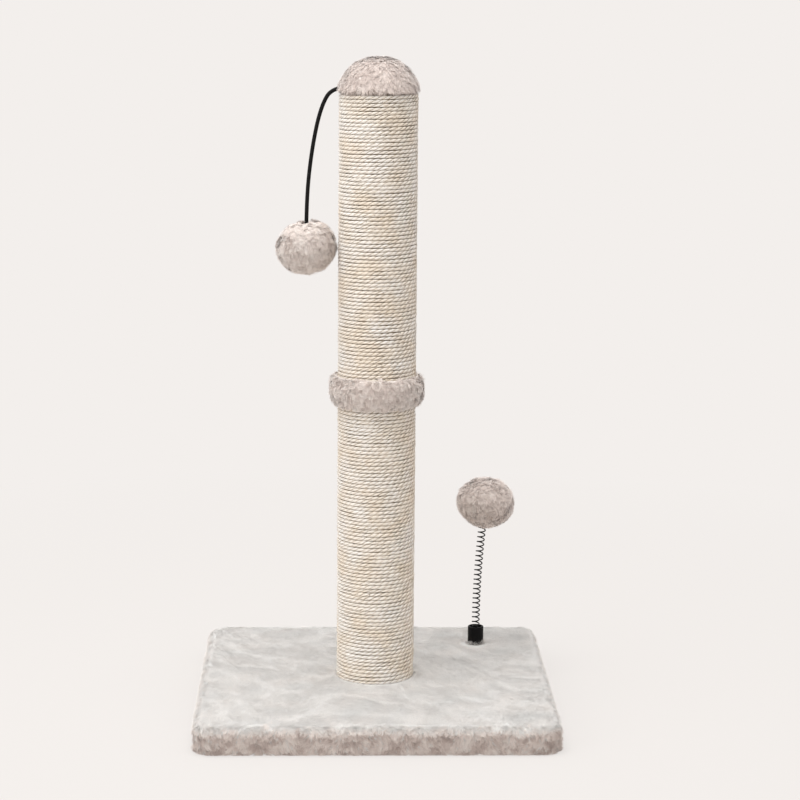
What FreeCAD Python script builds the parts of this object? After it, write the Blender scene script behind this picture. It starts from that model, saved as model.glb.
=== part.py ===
# Cat scratching post: a plush-covered square base, a rope-wound post in two sections with a plush
# collar and dome, a ball on an elastic cord and a ball on a coil spring. Millimetres, +Z up, +X to
# the right, the front towards -Y, and the origin at the middle of the base's underside.
import FreeCAD, Part
import math
import os
import Sketcher
from FreeCAD import Vector

os.makedirs("parts", exist_ok=True)
doc = FreeCAD.newDocument("scratching_post")

# ---------------------------------------------------------------- driving dimensions
driving = {
    # base
    "base_width": 350.0,          # left to right, over the pile
    "base_depth": 350.0,          # front to back, over the pile
    "base_corner": 20.0,          # corner radius in plan, over the pile
    "cover_thick": 10.5,          # plush on the top and sides, knitted backing and pile
    "cover_edge": 8.0,            # soft rounding of the plush along the top edge
    "hem_edge": 1.2,              # soft rounding of the plush along the bottom edge
    "backing_thick": 1.5,         # the plush where something stands on it
    "board_thick": 16.0,
    "hem_thick": 2.0,             # plush turned under the board, flattened by the weight
    "hem_width": 26.0,
    "cloth_thick": 1.2,
    "cloth_margin": 1.0,          # from the hem's cut edge to the dust cloth
    "access_hole": 28.0,          # in the dust cloth, for the bolt's key
    # staples
    "staple_crown": 10.0,
    "staple_wide": 1.2,           # the flat wire, across the crown
    "staple_wire": 0.6,           # the flat wire, thickness
    "staple_leg": 10.0,
    "staple_inset": 13.0,         # from the board's edge to the row of staples
    "staple_recess": 0.3,         # how far a crown is pressed into the hem or the rope
    "staples_per_side": 5,
    "rope_staple_inset": 8.5,     # from the rope's ends to its staples
    # post
    "tube_outer": 70.0,
    "tube_wall": 4.0,
    "tube_length": 297.6,         # each of the two tubes
    "rope_thick": 3.7,
    "rope_pitch": 3.83,           # one turn, before the turns are spread evenly over the tube
    "rope_groove": 1.3,           # depth of the groove between two turns
    "rope_shoulder": 0.35,        # drop from a turn's crest a quarter of a turn's width away
    "plug_thick": 18.0,
    "head_plug_thick": 12.0,
    # bolt, stud and nuts
    "thread": 8.0,
    "thread_chamfer": 1.0,        # at the ends of the bolt and the stud
    "bolt_length": 40.0,
    "bolt_head": 14.0,
    "bolt_head_tall": 4.5,
    "bolt_head_flat": 7.0,        # the flat on top of the domed head, across
    "bolt_head_rim": 1.5,         # height of the head's straight rim
    "key_size": 5.0,              # hexagon socket, across flats
    "key_depth": 2.8,
    "washer_outer": 22.0,
    "washer_thick": 1.5,
    "counterbore": 26.0,
    "counterbore_deep": 7.0,
    "nut_flange": 22.0,
    "nut_flange_thick": 1.5,
    "nut_barrel": 10.0,
    "nut_barrel_tall": 12.0,
    "stud_length": 50.0,
    # collar and dome
    "collar_tall": 32.0,
    "collar_thick": 7.8,
    "collar_edge": 5.0,           # rounding of the ring's outer edges
    "collar_crown": 1.0,          # swell of the ring's outer face
    "collar_rise": 1.0,           # from the tubes' joint up to the collar's middle
    "dome_sink": 9.2,             # from the tube's top down to the dome's centre
    "dome_room": 0.6,             # from the tube's top edge to the plush of the dome
    "dome_plush_thick": 5.2,
    "dome_skirt": 3.0,            # how far the plush hangs below the tube's top
    # ball on the cord
    "cord_thick": 4.0,
    "cord_notch": 6.4,            # way out for the cord under the dome's hem
    "cord_groove": 7.0,           # groove for the cord and its staple in the foam
    "cord_groove_end": 21.0,      # from the post's axis to the groove's inner end
    "cord_staple_at": 28.0,       # from the post's axis to the staple
    "hanging_ball_x": -70.1,
    "hanging_ball_z": 460.0,
    "knot_size": 8.0,
    "knot_flat": 4.0,             # the flats on top of and below the knot, across
    "knot_bevel": 2.0,
    # both balls
    "ball_wide": 61.4,
    "ball_tall": 55.0,
    "ball_pile": 7.0,
    # ball on the spring
    "holder_inset_x": 66.9,       # from the base's right side to the holder's axis
    "holder_inset_y": 68.0,       # from the base's back to the holder's axis
    "holder_outer": 16.4,
    "holder_tall": 26.5,
    "holder_mouth": 12.6,         # wide mouth, which leaves a thin rim
    "holder_mouth_deep": 4.0,
    "holder_rim": 0.8,
    "spring_seat_deep": 14.0,     # from the holder's mouth to the spring's seat
    "spring_outer": 8.5,
    "spring_wire": 1.3,
    "spring_pitch": 5.1,
    "spring_lean_radius": 1030.0,  # the weight of the ball bends the spring to this radius
    "spring_free": 134.0,         # along the spring, from the holder's mouth to the ball's middle
    "spring_short": 4.0,          # the spring ends this far below the ball's middle
    "screw_thick": 4.0,
    "screw_head": 8.0,
    "screw_head_tall": 2.6,
    "screw_bite": 9.0,            # length in the holder
    "screw_cross": 4.4,           # arms of the cross recess
    "screw_cross_wide": 1.1,
    "screw_cross_deep": 1.4,
    # clearances
    "glue_gap": 0.1,              # between glued, pressed or driven pieces
    "soft_gap": 0.3,              # between a soft piece and what it wraps
    "hole_gap": 0.5,              # round the bolt and the stud
    "spring_gap": 0.6,            # round the spring in its bores
}
sheet = doc.addObject("Spreadsheet::Sheet", "sizes")
for row, (alias, size) in enumerate(driving.items(), start=1):
    sheet.set(f"A{row}", alias)
    sheet.set(f"B{row}", str(size))
    sheet.setAlias(f"B{row}", alias)
doc.recompute()

# heights and radii that several pieces share, as expressions of the sheet's cells
board_bottom = "sizes.hem_thick"
board_top = f"({board_bottom} + sizes.board_thick)"
base_top = f"({board_top} + sizes.cover_thick)"
foot = f"({board_top} + sizes.backing_thick)"
joint = f"({foot} + sizes.tube_length)"
tube_top = f"({joint} + sizes.tube_length)"
tube_radius = "(sizes.tube_outer / 2)"
bore_radius = f"({tube_radius} - sizes.tube_wall)"
rope_inner = f"({tube_radius} + sizes.glue_gap)"
post_radius = f"({rope_inner} + sizes.rope_thick)"
board_width = "(sizes.base_width - 2 * sizes.cover_thick)"
board_depth = "(sizes.base_depth - 2 * sizes.cover_thick)"
board_corner = "(sizes.base_corner - sizes.cover_thick)"
thread_hole = "(sizes.thread / 2 + sizes.hole_gap)"
bolt_seat = f"({board_bottom} + sizes.counterbore_deep - sizes.washer_thick)"
collar_middle = f"({joint} + sizes.collar_rise)"
dome_middle = f"({tube_top} - sizes.dome_sink)"
dome_hem = f"({tube_top} - sizes.dome_skirt)"
lower_rope_low, lower_rope_high = f"({foot} + sizes.glue_gap)", f"({joint} - sizes.glue_gap)"
upper_rope_low, upper_rope_high = f"({joint} + sizes.glue_gap)", f"({dome_hem} - sizes.soft_gap)"
plush_room = f"sqrt(({tube_radius} + sizes.dome_room) ^ 2 + sizes.dome_sink ^ 2)"
foam_radius = f"({plush_room} - sizes.soft_gap)"
dome_radius = f"({plush_room} + sizes.dome_plush_thick)"
cord_level = f"({tube_top} + sizes.cord_thick / 2 + 2 * sizes.glue_gap)"
holder_x = "(sizes.base_width / 2 - sizes.holder_inset_x)"
holder_y = "(sizes.base_depth / 2 - sizes.holder_inset_y)"
holder_top = f"({foot} + sizes.holder_tall)"
screw_bore = "(sizes.screw_thick / 2 + sizes.glue_gap)"
spring_bore = "(sizes.spring_outer / 2 + sizes.spring_gap)"
lean_turn = "(sizes.spring_free / sizes.spring_lean_radius * 180 / pi)"
spring_ball_x = f"({holder_x} + sizes.spring_lean_radius * (1 - cos({lean_turn} * 1 deg)))"
spring_ball_z = f"({holder_top} + sizes.spring_lean_radius * sin({lean_turn} * 1 deg))"

nodes = []


def amount(expression):
    """The number that an expression of the sheet's cells comes to."""
    return float(sheet.evalExpression(expression))


def bind(item, **expressions):
    for name, expression in expressions.items():
        item.setExpression(name, expression)
    return item


def place(item, x="0", y="0", z="0"):
    for axis, expression in zip("xyz", (x, y, z)):
        if expression != "0":
            item.setExpression(f"Placement.Base.{axis}", expression)
    return item


def node(label, item):
    """Keeps an object as one of the post's separate pieces."""
    item.Label = label
    nodes.append(item)
    return item


# ---------------------------------------------------------------- sketches and bodies
def new_sketch(body, plane, name, level="0"):
    sketch = body.newObject("Sketcher::SketchObject", name)
    origin_plane = next(f for f in body.Origin.OriginFeatures if f.Role == plane)
    sketch.AttachmentSupport = [(origin_plane, "")]
    sketch.MapMode = "FlatFace"
    if level != "0":
        sketch.setExpression("AttachmentOffset.Base.z", level)
    return sketch


def constrain(sketch, expression, *terms):
    index = sketch.addConstraint(Sketcher.Constraint(*terms, amount(expression)))
    sketch.setExpression(f"Constraints[{index}]", expression)


def pin_point(sketch, edge, end, x, y):
    """Holds one end of an edge at a place that is given by two expressions."""
    if x == "0":
        sketch.addConstraint(Sketcher.Constraint("PointOnObject", edge, end, -2))
    else:
        constrain(sketch, x, "DistanceX", -1, 1, edge, end)
    if y == "0":
        sketch.addConstraint(Sketcher.Constraint("PointOnObject", edge, end, -1))
    else:
        constrain(sketch, y, "DistanceY", -1, 1, edge, end)


def outline(sketch, corners, arcs=None):
    """A closed outline through corners. arcs maps the edge after a corner to its radius and the
    side of its centre: 1 is the left of the way round, -1 the right."""
    arcs = arcs or {}
    spots = [Vector(amount(x), amount(y), 0) for x, y in corners]
    ends = []
    for i, start in enumerate(spots):
        stop = spots[(i + 1) % len(spots)]
        if i not in arcs:
            ends.append((sketch.addGeometry(Part.LineSegment(start, stop), False), 1, 2))
            continue
        radius, side = arcs[i]
        size = amount(radius)
        chord = stop - start
        left = Vector(-chord.y, chord.x, 0).normalize()
        middle = (start + stop) / 2 + left * side * math.sqrt(max(size**2 - chord.Length**2 / 4, 0))
        first, last = (start, stop) if side > 0 else (stop, start)
        turn = [math.atan2(p.y - middle.y, p.x - middle.x) for p in (first, last)]
        if turn[1] < turn[0]:
            turn[1] += 2 * math.pi
        circle = Part.Circle(middle, Vector(0, 0, 1), size)
        edge = sketch.addGeometry(Part.ArcOfCircle(circle, *turn), False)
        ends.append((edge, 1, 2) if side > 0 else (edge, 2, 1))
        constrain(sketch, radius, "Radius", edge)
    for i, (edge, tail, head) in enumerate(ends):
        following, next_tail, _ = ends[(i + 1) % len(ends)]
        sketch.addConstraint(Sketcher.Constraint("Coincident", edge, head, following, next_tail))
        pin_point(sketch, edge, tail, *corners[i])


def rounded_rectangle(sketch, width, depth, corner):
    """A rectangle about the origin with round corners."""
    x, y = f"({width} / 2)", f"({depth} / 2)"
    near_x, near_y = f"({x} - {corner})", f"({y} - {corner})"
    corners = [
        (f"-{near_x}", f"-{y}"), (near_x, f"-{y}"),
        (x, f"-{near_y}"), (x, near_y),
        (near_x, y), (f"-{near_x}", y),
        (f"-{x}", near_y), (f"-{x}", f"-{near_y}"),
    ]
    outline(sketch, corners, {i: (corner, 1) for i in (1, 3, 5, 7)})


def rectangle(sketch, width, depth):
    x, y = f"({width} / 2)", f"({depth} / 2)"
    outline(sketch, [(f"-{x}", f"-{y}"), (x, f"-{y}"), (x, y), (f"-{x}", y)])


def circle(sketch, radius, x="0", y="0"):
    shape = Part.Circle(Vector(amount(x), amount(y), 0), Vector(0, 0, 1), amount(radius))
    edge = sketch.addGeometry(shape, False)
    pin_point(sketch, edge, 3, x, y)
    constrain(sketch, radius, "Radius", edge)


def hexagon(sketch, across):
    """A hexagon about the origin, by its size across flats."""
    reach = f"({across} / sqrt(3))"
    flat, half = f"({across} / 2)", f"({reach} / 2)"
    corners = [
        (reach, "0"), (half, flat), (f"-{half}", flat),
        (f"-{reach}", "0"), (f"-{half}", f"-{flat}"), (half, f"-{flat}"),
    ]
    outline(sketch, corners)


def cross(sketch, span, wide):
    """A cross about the origin."""
    far, near = f"({span} / 2)", f"({wide} / 2)"
    quarter = [(far, near), (near, near), (near, far)]
    corners = []
    for sign_x, sign_y, order in (("", "", 1), ("-", "", -1), ("-", "-", 1), ("", "-", -1)):
        corners += [(f"{sign_x}{x}", f"{sign_y}{y}") for x, y in quarter[::order]]
    outline(sketch, corners)


def pad(body, name, draw, length, level="0"):
    sketch = new_sketch(body, "XY_Plane", f"{name}_sketch", level)
    draw(sketch)
    feature = body.newObject("PartDesign::Pad", name)
    feature.Profile = sketch
    bind(feature, Length=length)
    doc.recompute()
    return feature


def pocket(body, name, draw, length, level="0"):
    """A pocket that goes up from its level."""
    before = body.Shape.Volume
    sketch = new_sketch(body, "XY_Plane", f"{name}_sketch", level)
    draw(sketch)
    feature = body.newObject("PartDesign::Pocket", name)
    feature.Profile = sketch
    feature.Reversed = True
    bind(feature, Length=length)
    doc.recompute()
    assert body.Shape.Volume < before - 0.1, f"{name} cuts nothing"
    return feature


def fillet(body, name, base, radius, level):
    """Rounds all the edges of a body that lie at one level."""
    height = amount(level)
    edges = [
        f"Edge{i}" for i, edge in enumerate(base.Shape.Edges, start=1)
        if abs(edge.BoundBox.ZMin - height) < 1e-4 and abs(edge.BoundBox.ZMax - height) < 1e-4
    ]
    feature = body.newObject("PartDesign::Fillet", name)
    feature.Base = (base, edges)
    bind(feature, Radius=radius)
    doc.recompute()
    return feature


def turned(label, corners, arcs=None):
    """A body of revolution about Z, from an outline of (radius, height) corners."""
    body = doc.addObject("PartDesign::Body", label)
    sketch = new_sketch(body, "XZ_Plane", f"{label}_sketch")
    outline(sketch, corners, arcs)
    feature = body.newObject("PartDesign::Revolution", f"{label}_turn")
    feature.Profile = sketch
    feature.ReferenceAxis = (sketch, ["V_Axis"])
    feature.Angle = 360
    doc.recompute()
    return body


def ring(label, outer, inner, low, high):
    return turned(label, [(inner, low), (outer, low), (outer, high), (inner, high)])


def solid(label, kind, x="0", y="0", z="0", **expressions):
    """One of Part's primitives, with its sizes and place bound to the sheet."""
    item = bind(doc.addObject(f"Part::{kind}", label), **expressions)
    return place(item, x, y, z)


def less(label, base, *tools):
    """A base with one or more tools cut away."""
    tool = tools[0]
    if len(tools) > 1:
        tool = doc.addObject("Part::Compound", f"{label}_tools")
        tool.Links = list(tools)
    item = doc.addObject("Part::Cut", f"{label}_cut")
    item.Base, item.Tool = base, tool
    return item


# ---------------------------------------------------------------- staples
def staple(crown, leg, wide, wire, grow=0.0):
    """A staple under the origin of its crown, with its legs up: the crown runs along X."""
    bars = [(-crown / 2, crown, wire), (-crown / 2, wire, wire + leg), (crown / 2 - wire, wire, wire + leg)]
    pieces = [
        Part.makeBox(
            length + 2 * grow, wide + 2 * grow, height + 2 * grow,
            Vector(start - grow, -wide / 2 - grow, -grow),
        )
        for start, length, height in bars
    ]
    return pieces[0].fuse(pieces[1:]).removeSplitter()


def cover_staple_group(grow=0.0):
    """The rows of staples along the four sides of the board, crowns down."""
    crown, leg = amount("sizes.staple_crown"), amount("sizes.staple_leg")
    wide, wire = amount("sizes.staple_wide"), amount("sizes.staple_wire")
    count = int(amount("sizes.staples_per_side"))
    low = amount("sizes.staple_recess")
    sides = []
    for angle, along, across in ((0, board_width, board_depth), (90, board_depth, board_width)):
        out = amount(f"{across} / 2 - sizes.staple_inset")
        length = amount(f"{along} - 2 * {board_corner} - 2 * sizes.staple_crown")
        for side in (-out, out):
            for i in range(count):
                step = length * (i / (count - 1) - 0.5) if count > 1 else 0.0
                piece = staple(crown, leg, wide, wire, grow)
                piece.translate(Vector(step, side, low))
                piece.rotate(Vector(0, 0, 0), Vector(0, 0, 1), angle)
                sides.append(piece)
    return Part.makeCompound(sides)


def rope_staple_group(grow=0.0):
    """One staple across the rope's turns near each of its ends, at the back of the post."""
    crown, leg = amount("sizes.staple_crown"), amount("sizes.staple_leg")
    wide, wire = amount("sizes.staple_wide"), amount("sizes.staple_wire")
    out = amount(f"{post_radius} - sizes.staple_recess")
    inset = amount("sizes.rope_staple_inset")
    ends = ((lower_rope_low, 1), (lower_rope_high, -1), (upper_rope_low, 1), (upper_rope_high, -1))
    group = []
    for level, way in ends:
        piece = staple(crown, leg, wide, wire, grow)
        piece.rotate(Vector(0, 0, 0), Vector(1, 0, 0), 90)
        piece.rotate(Vector(0, 0, 0), Vector(0, 1, 0), 90)
        piece.translate(Vector(0, out, amount(level) + way * inset))
        group.append(piece)
    return Part.makeCompound(group)


def cord_staple_shape(grow=0.0):
    """The staple over the cord's end on the head plug, legs down."""
    wide, wire = amount("sizes.staple_wide"), amount("sizes.staple_wire")
    inside = amount("sizes.cord_thick + 2 * sizes.soft_gap")
    height = amount(f"{cord_level} + sizes.cord_thick / 2 + sizes.soft_gap + sizes.staple_wire")
    leg = height - amount(tube_top) - wire + amount("sizes.staple_leg")
    piece = staple(inside + 2 * wire, leg, wide, wire, grow)
    piece.rotate(Vector(0, 0, 0), Vector(1, 0, 0), 180)
    piece.rotate(Vector(0, 0, 0), Vector(0, 0, 1), 90)
    piece.translate(Vector(-amount("sizes.cord_staple_at"), 0, height))
    return piece


def shaped(label, shape):
    item = doc.addObject("Part::Feature", label)
    item.Shape = shape
    return item


gap = amount("sizes.glue_gap")
cover_staple_seats = shaped("cover_staple_seats", cover_staple_group(gap))
rope_staple_seats = shaped("rope_staple_seats", rope_staple_group(gap))
cord_staple_seat = shaped("cord_staple_seat", cord_staple_shape(gap))


# ---------------------------------------------------------------- base
def base_board():
    """Particle board, with the counterbored bolt hole and the pilot hole of the holder's screw."""
    body = doc.addObject("PartDesign::Body", "board")
    pad(body, "board_slab", lambda s: rounded_rectangle(s, board_width, board_depth, board_corner),
        "sizes.board_thick", board_bottom)
    pocket(body, "bolt_hole", lambda s: circle(s, thread_hole), "sizes.board_thick", board_bottom)
    pocket(body, "bolt_counterbore", lambda s: circle(s, "(sizes.counterbore / 2)"),
           "sizes.counterbore_deep", board_bottom)
    pocket(body, "screw_hole",
           lambda s: circle(s, screw_bore, holder_x, holder_y),
           "sizes.board_thick", board_bottom)
    sink = solid("screw_countersink", "Cone", holder_x, holder_y, board_bottom,
                 Radius1="sizes.screw_head / 2 + sizes.glue_gap",
                 Radius2=screw_bore,
                 Height="sizes.screw_head_tall + sizes.glue_gap")
    node("base_board", less("base_board", body, sink, cover_staple_seats))


def base_plush():
    """The cover: one skin over the top and sides, turned under the board as a hem."""
    body = doc.addObject("PartDesign::Body", "plush")
    slab = pad(body, "plush_slab",
               lambda s: rounded_rectangle(s, "sizes.base_width", "sizes.base_depth", "sizes.base_corner"),
               base_top)
    top = fillet(body, "top_edge", slab, "sizes.cover_edge", base_top)
    fillet(body, "bottom_edge", top, "sizes.hem_edge", "0")
    wide, deep = f"({board_width} + 2 * sizes.soft_gap)", f"({board_depth} + 2 * sizes.soft_gap)"
    pocket(body, "board_room",
           lambda s: rounded_rectangle(s, wide, deep, f"({board_corner} + sizes.soft_gap)"),
           "sizes.board_thick", board_bottom)
    opening = [f"({side} - 2 * sizes.hem_width)" for side in (board_width, board_depth)]
    pocket(body, "hem_opening", lambda s: rectangle(s, *opening), board_bottom)
    pocket(body, "post_seat", lambda s: circle(s, f"({post_radius} + sizes.soft_gap)"),
           "sizes.cover_thick", foot)
    pocket(body, "plush_bolt_hole", lambda s: circle(s, thread_hole), "sizes.backing_thick", board_top)
    pocket(body, "holder_seat",
           lambda s: circle(s, "(sizes.holder_outer / 2 + sizes.soft_gap)", holder_x, holder_y),
           "sizes.cover_thick", foot)
    pocket(body, "plush_screw_hole",
           lambda s: circle(s, screw_bore, holder_x, holder_y),
           "sizes.backing_thick", board_top)
    node("base_plush", less("base_plush", body, cover_staple_seats))


def underside_cloth():
    body = doc.addObject("PartDesign::Body", "underside_cloth")
    margin = "(sizes.hem_width + sizes.cloth_margin)"
    level = f"({board_bottom} - sizes.cloth_thick)"
    pad(body, "cloth_sheet",
        lambda s: rectangle(s, f"({board_width} - 2 * {margin})", f"({board_depth} - 2 * {margin})"),
        "sizes.cloth_thick", level)
    pocket(body, "cloth_hole", lambda s: circle(s, "(sizes.access_hole / 2)"), "sizes.cloth_thick", level)
    node("underside_cloth", body)


def base_bolt():
    """Button-head bolt, head down in the counterbore, with a hexagon socket."""
    head, shank = "(sizes.bolt_head / 2)", "(sizes.thread / 2)"
    low = f"({bolt_seat} - sizes.bolt_head_tall)"
    rim = f"({bolt_seat} - sizes.bolt_head_rim)"
    top = f"({bolt_seat} + sizes.bolt_length)"
    body = turned("base_bolt", [
        ("0", low), ("(sizes.bolt_head_flat / 2)", low), (head, rim), (head, bolt_seat), (shank, bolt_seat),
        (shank, f"({top} - sizes.thread_chamfer)"), (f"({shank} - sizes.thread_chamfer)", top), ("0", top),
    ])
    pocket(body, "key_socket", lambda s: hexagon(s, "sizes.key_size"), "sizes.key_depth", low)
    node("base_bolt", body)


base_board()
base_plush()
underside_cloth()
node("cover_staples", shaped("cover_staples", cover_staple_group()))
base_bolt()
node("base_washer", ring("base_washer", "(sizes.washer_outer / 2)", "(sizes.thread / 2 + sizes.glue_gap)",
                         bolt_seat, f"({bolt_seat} + sizes.washer_thick)"))


# ---------------------------------------------------------------- post
def tee_nut(label, face, way):
    """A nut whose flange lies on a plug's inner face and whose barrel goes into the plug. way is
    the sign of the barrel's direction. Its thread is left plain."""
    sign = "+" if way > 0 else "-"
    outside = "-" if way > 0 else "+"
    flange, barrel = "(sizes.nut_flange / 2)", "(sizes.nut_barrel / 2)"
    bore = "(sizes.thread / 2 + sizes.glue_gap)"
    back = f"({face} {outside} sizes.nut_flange_thick)"
    tip = f"({face} {sign} sizes.nut_barrel_tall)"
    corners = [(bore, back), (flange, back), (flange, face), (barrel, face), (barrel, tip), (bore, tip)]
    node(label, turned(label, corners if way > 0 else corners[::-1]))


def plug(label, low, high, barrel_from):
    """A wooden plug with a way through for the bolt or stud and a bore for the nut's barrel.
    barrel_from names the face that the nut's flange lies on: low or high."""
    outer = f"({bore_radius} - sizes.glue_gap)"
    barrel = "(sizes.nut_barrel / 2 + sizes.glue_gap)"
    if barrel_from == "high":
        step = f"({high} - sizes.nut_barrel_tall - sizes.glue_gap)"
        bore = [(barrel, high), (barrel, step), (thread_hole, step), (thread_hole, low)]
    else:
        step = f"({low} + sizes.nut_barrel_tall + sizes.glue_gap)"
        bore = [(thread_hole, high), (thread_hole, step), (barrel, step), (barrel, low)]
    corners = [(outer, low), (outer, high)] + bore
    node(label, less(label, turned(f"{label}_disc", corners), rope_staple_seats))


def tube(label, low, high):
    node(label, less(label, ring(f"{label}_wall", tube_radius, bore_radius, low, high), rope_staple_seats))


def rope_winding(label, low, high):
    """The rope round one tube: a sleeve with one rounded rib for each turn."""
    start, length = amount(low), amount(f"{high} - {low}")
    turns = round(length / amount("sizes.rope_pitch"))
    pitch, crest = length / turns, amount(post_radius)
    groove, shoulder = amount("sizes.rope_groove"), amount("sizes.rope_shoulder")
    rib = ((0.0, groove), (0.25, shoulder), (0.5, 0.0), (0.75, shoulder))
    print(label, turns, "turns at", round(pitch, 3))
    rings = [
        Part.Wire(Part.makeCircle(crest - drop, Vector(0, 0, start + pitch * (turn + share))))
        for turn in range(turns) for share, drop in rib
    ]
    rings.append(Part.Wire(Part.makeCircle(crest - groove, Vector(0, 0, start + pitch * turns))))
    core = Part.makeCylinder(amount(rope_inner), length + 2 * pitch, Vector(0, 0, start - pitch))
    sleeve = shaped(f"{label}_sleeve", Part.makeLoft(rings, True, True).cut(core))
    node(label, less(label, sleeve, rope_staple_seats))


foot_plug_top = f"({foot} + sizes.plug_thick)"
lower_plug_low = f"({joint} - sizes.plug_thick)"
upper_plug_top = f"({joint} + sizes.plug_thick)"
head_plug_low = f"({tube_top} - sizes.head_plug_thick)"
plug("foot_plug", foot, foot_plug_top, "high")
tee_nut("foot_tee_nut", foot_plug_top, -1)
tube("lower_tube", foot, joint)
rope_winding("lower_rope", lower_rope_low, lower_rope_high)
plug("lower_head_plug", lower_plug_low, joint, "low")
tee_nut("lower_tee_nut", lower_plug_low, 1)
plug("upper_foot_plug", joint, upper_plug_top, "high")
tee_nut("upper_tee_nut", upper_plug_top, -1)
tube("upper_tube", joint, tube_top)
rope_winding("upper_rope", upper_rope_low, upper_rope_high)
node("rope_staples", shaped("rope_staples", rope_staple_group()))


def joining_stud():
    shank, chamfer = "(sizes.thread / 2)", "sizes.thread_chamfer"
    low, high = f"({joint} - sizes.stud_length / 2)", f"({joint} + sizes.stud_length / 2)"
    node("joining_stud", turned("joining_stud", [
        ("0", low), (f"({shank} - {chamfer})", low), (shank, f"({low} + {chamfer})"),
        (shank, f"({high} - {chamfer})"), (f"({shank} - {chamfer})", high), ("0", high),
    ]))


def collar_plush():
    """The plush ring over the joint, with rounded edges and a crowned outer face."""
    inner = f"({post_radius} + sizes.soft_gap)"
    side = f"({inner} + sizes.collar_thick - sizes.collar_crown)"
    low, high = f"({collar_middle} - sizes.collar_tall / 2)", f"({collar_middle} + sizes.collar_tall / 2)"
    edge = "sizes.collar_edge"
    half_face = f"(sizes.collar_tall / 2 - {edge})"
    face_radius = f"(({half_face} ^ 2 + sizes.collar_crown ^ 2) / (2 * sizes.collar_crown))"
    corners = [
        (inner, low), (f"({side} - {edge})", low), (side, f"({low} + {edge})"),
        (side, f"({high} - {edge})"), (f"({side} - {edge})", high), (inner, high),
    ]
    arcs = {1: (edge, 1), 2: (face_radius, 1), 3: (edge, 1)}
    node("collar_plush", turned("collar_plush", corners, arcs))


def dome():
    """The head plug, the foam dome on it and the plush over both, with a way out for the cord."""
    head = ring("head_plug_disc", f"({bore_radius} - sizes.glue_gap)", thread_hole, head_plug_low, tube_top)
    node("head_plug", less("head_plug", head, cord_staple_seat, rope_staple_seats))
    cap = solid("foam_cap", "Sphere", z=dome_middle, Radius=foam_radius,
                Angle1=f"asin(sizes.dome_sink / {foam_radius})")
    groove_tall = f"{cord_level} - {tube_top} + sizes.cord_thick / 2 + 2 * sizes.soft_gap + sizes.staple_wire"
    groove = solid("foam_groove", "Box", f"-{dome_radius}", "-sizes.cord_groove / 2", tube_top,
                   Length=f"{dome_radius} - sizes.cord_groove_end", Width="sizes.cord_groove",
                   Height=groove_tall)
    node("dome_foam", less("dome_foam", cap, groove))
    skirt = "(sizes.dome_sink - sizes.dome_skirt)"
    outer = solid("plush_outer", "Sphere", z=dome_middle, Radius=dome_radius,
                  Angle1=f"asin({skirt} / {dome_radius})")
    inner = solid("plush_inner", "Sphere", z=dome_middle, Radius=plush_room,
                  Angle1=f"asin({skirt} / {plush_room})")
    notch = solid("plush_notch", "Box", f"-2 * {dome_radius}", "-sizes.cord_notch / 2", dome_hem,
                  Length=f"2 * {dome_radius}", Width="sizes.cord_notch",
                  Height=f"{cord_level} - {dome_hem} + sizes.cord_notch / 2")
    node("dome_plush", less("dome_plush", outer, inner, notch))


joining_stud()
collar_plush()
dome()
node("cord_staple", shaped("cord_staple", cord_staple_shape()))


# ---------------------------------------------------------------- ball on the cord
# The cord's route in the plane of the post's axis, as (x, z): out from under the dome's hem and
# down into the ball. The points are chosen by hand from how the cord hangs.
cord_route = [(-26.0, 616.9), (-44.5, 616.9), (-55.8, 598.7), (-64.3, 560.3), (-70.1, 509.0), (-70.1, 472.0)]


def rounded_path(points, share=0.45):
    """Straight runs joined by tangent arcs, each as large as its two runs allow."""
    edges, radii, last = [], [], points[0]
    for before, at, after in zip(points, points[1:], points[2:]):
        back, ahead = before - at, after - at
        half_turn = (math.pi - back.getAngle(ahead)) / 2
        cut = share * min(back.Length, ahead.Length)
        radii.append(cut / math.tan(half_turn))
        start, stop = at + back.normalize() * cut, at + ahead.normalize() * cut
        inward = (start + stop) / 2 - at
        middle = at + inward.normalize() * (radii[-1] / math.cos(half_turn) - radii[-1])
        edges += [Part.LineSegment(last, start).toShape(), Part.Arc(start, middle, stop).toShape()]
        last = stop
    edges.append(Part.LineSegment(last, points[-1]).toShape())
    return Part.Wire(edges), radii


def hanging_cord():
    points = [Vector(x, 0, z) for x, z in cord_route]
    path, radii = rounded_path(points)
    thick = amount("sizes.cord_thick")
    profile = Part.Wire(Part.makeCircle(thick / 2, points[0], points[1] - points[0]))
    tube = path.makePipeShell([profile], True, False)
    expected = math.pi * (thick / 2) ** 2 * path.Length
    print("cord radii", [round(r, 1) for r in radii], "length", round(path.Length, 1))
    print("cord volume", round(tube.Volume, 1), "against", round(expected, 1))
    assert abs(tube.Volume / expected - 1) < 0.01, "the cord's volume is off"
    node("hanging_cord", shaped("hanging_cord", tube))


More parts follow.
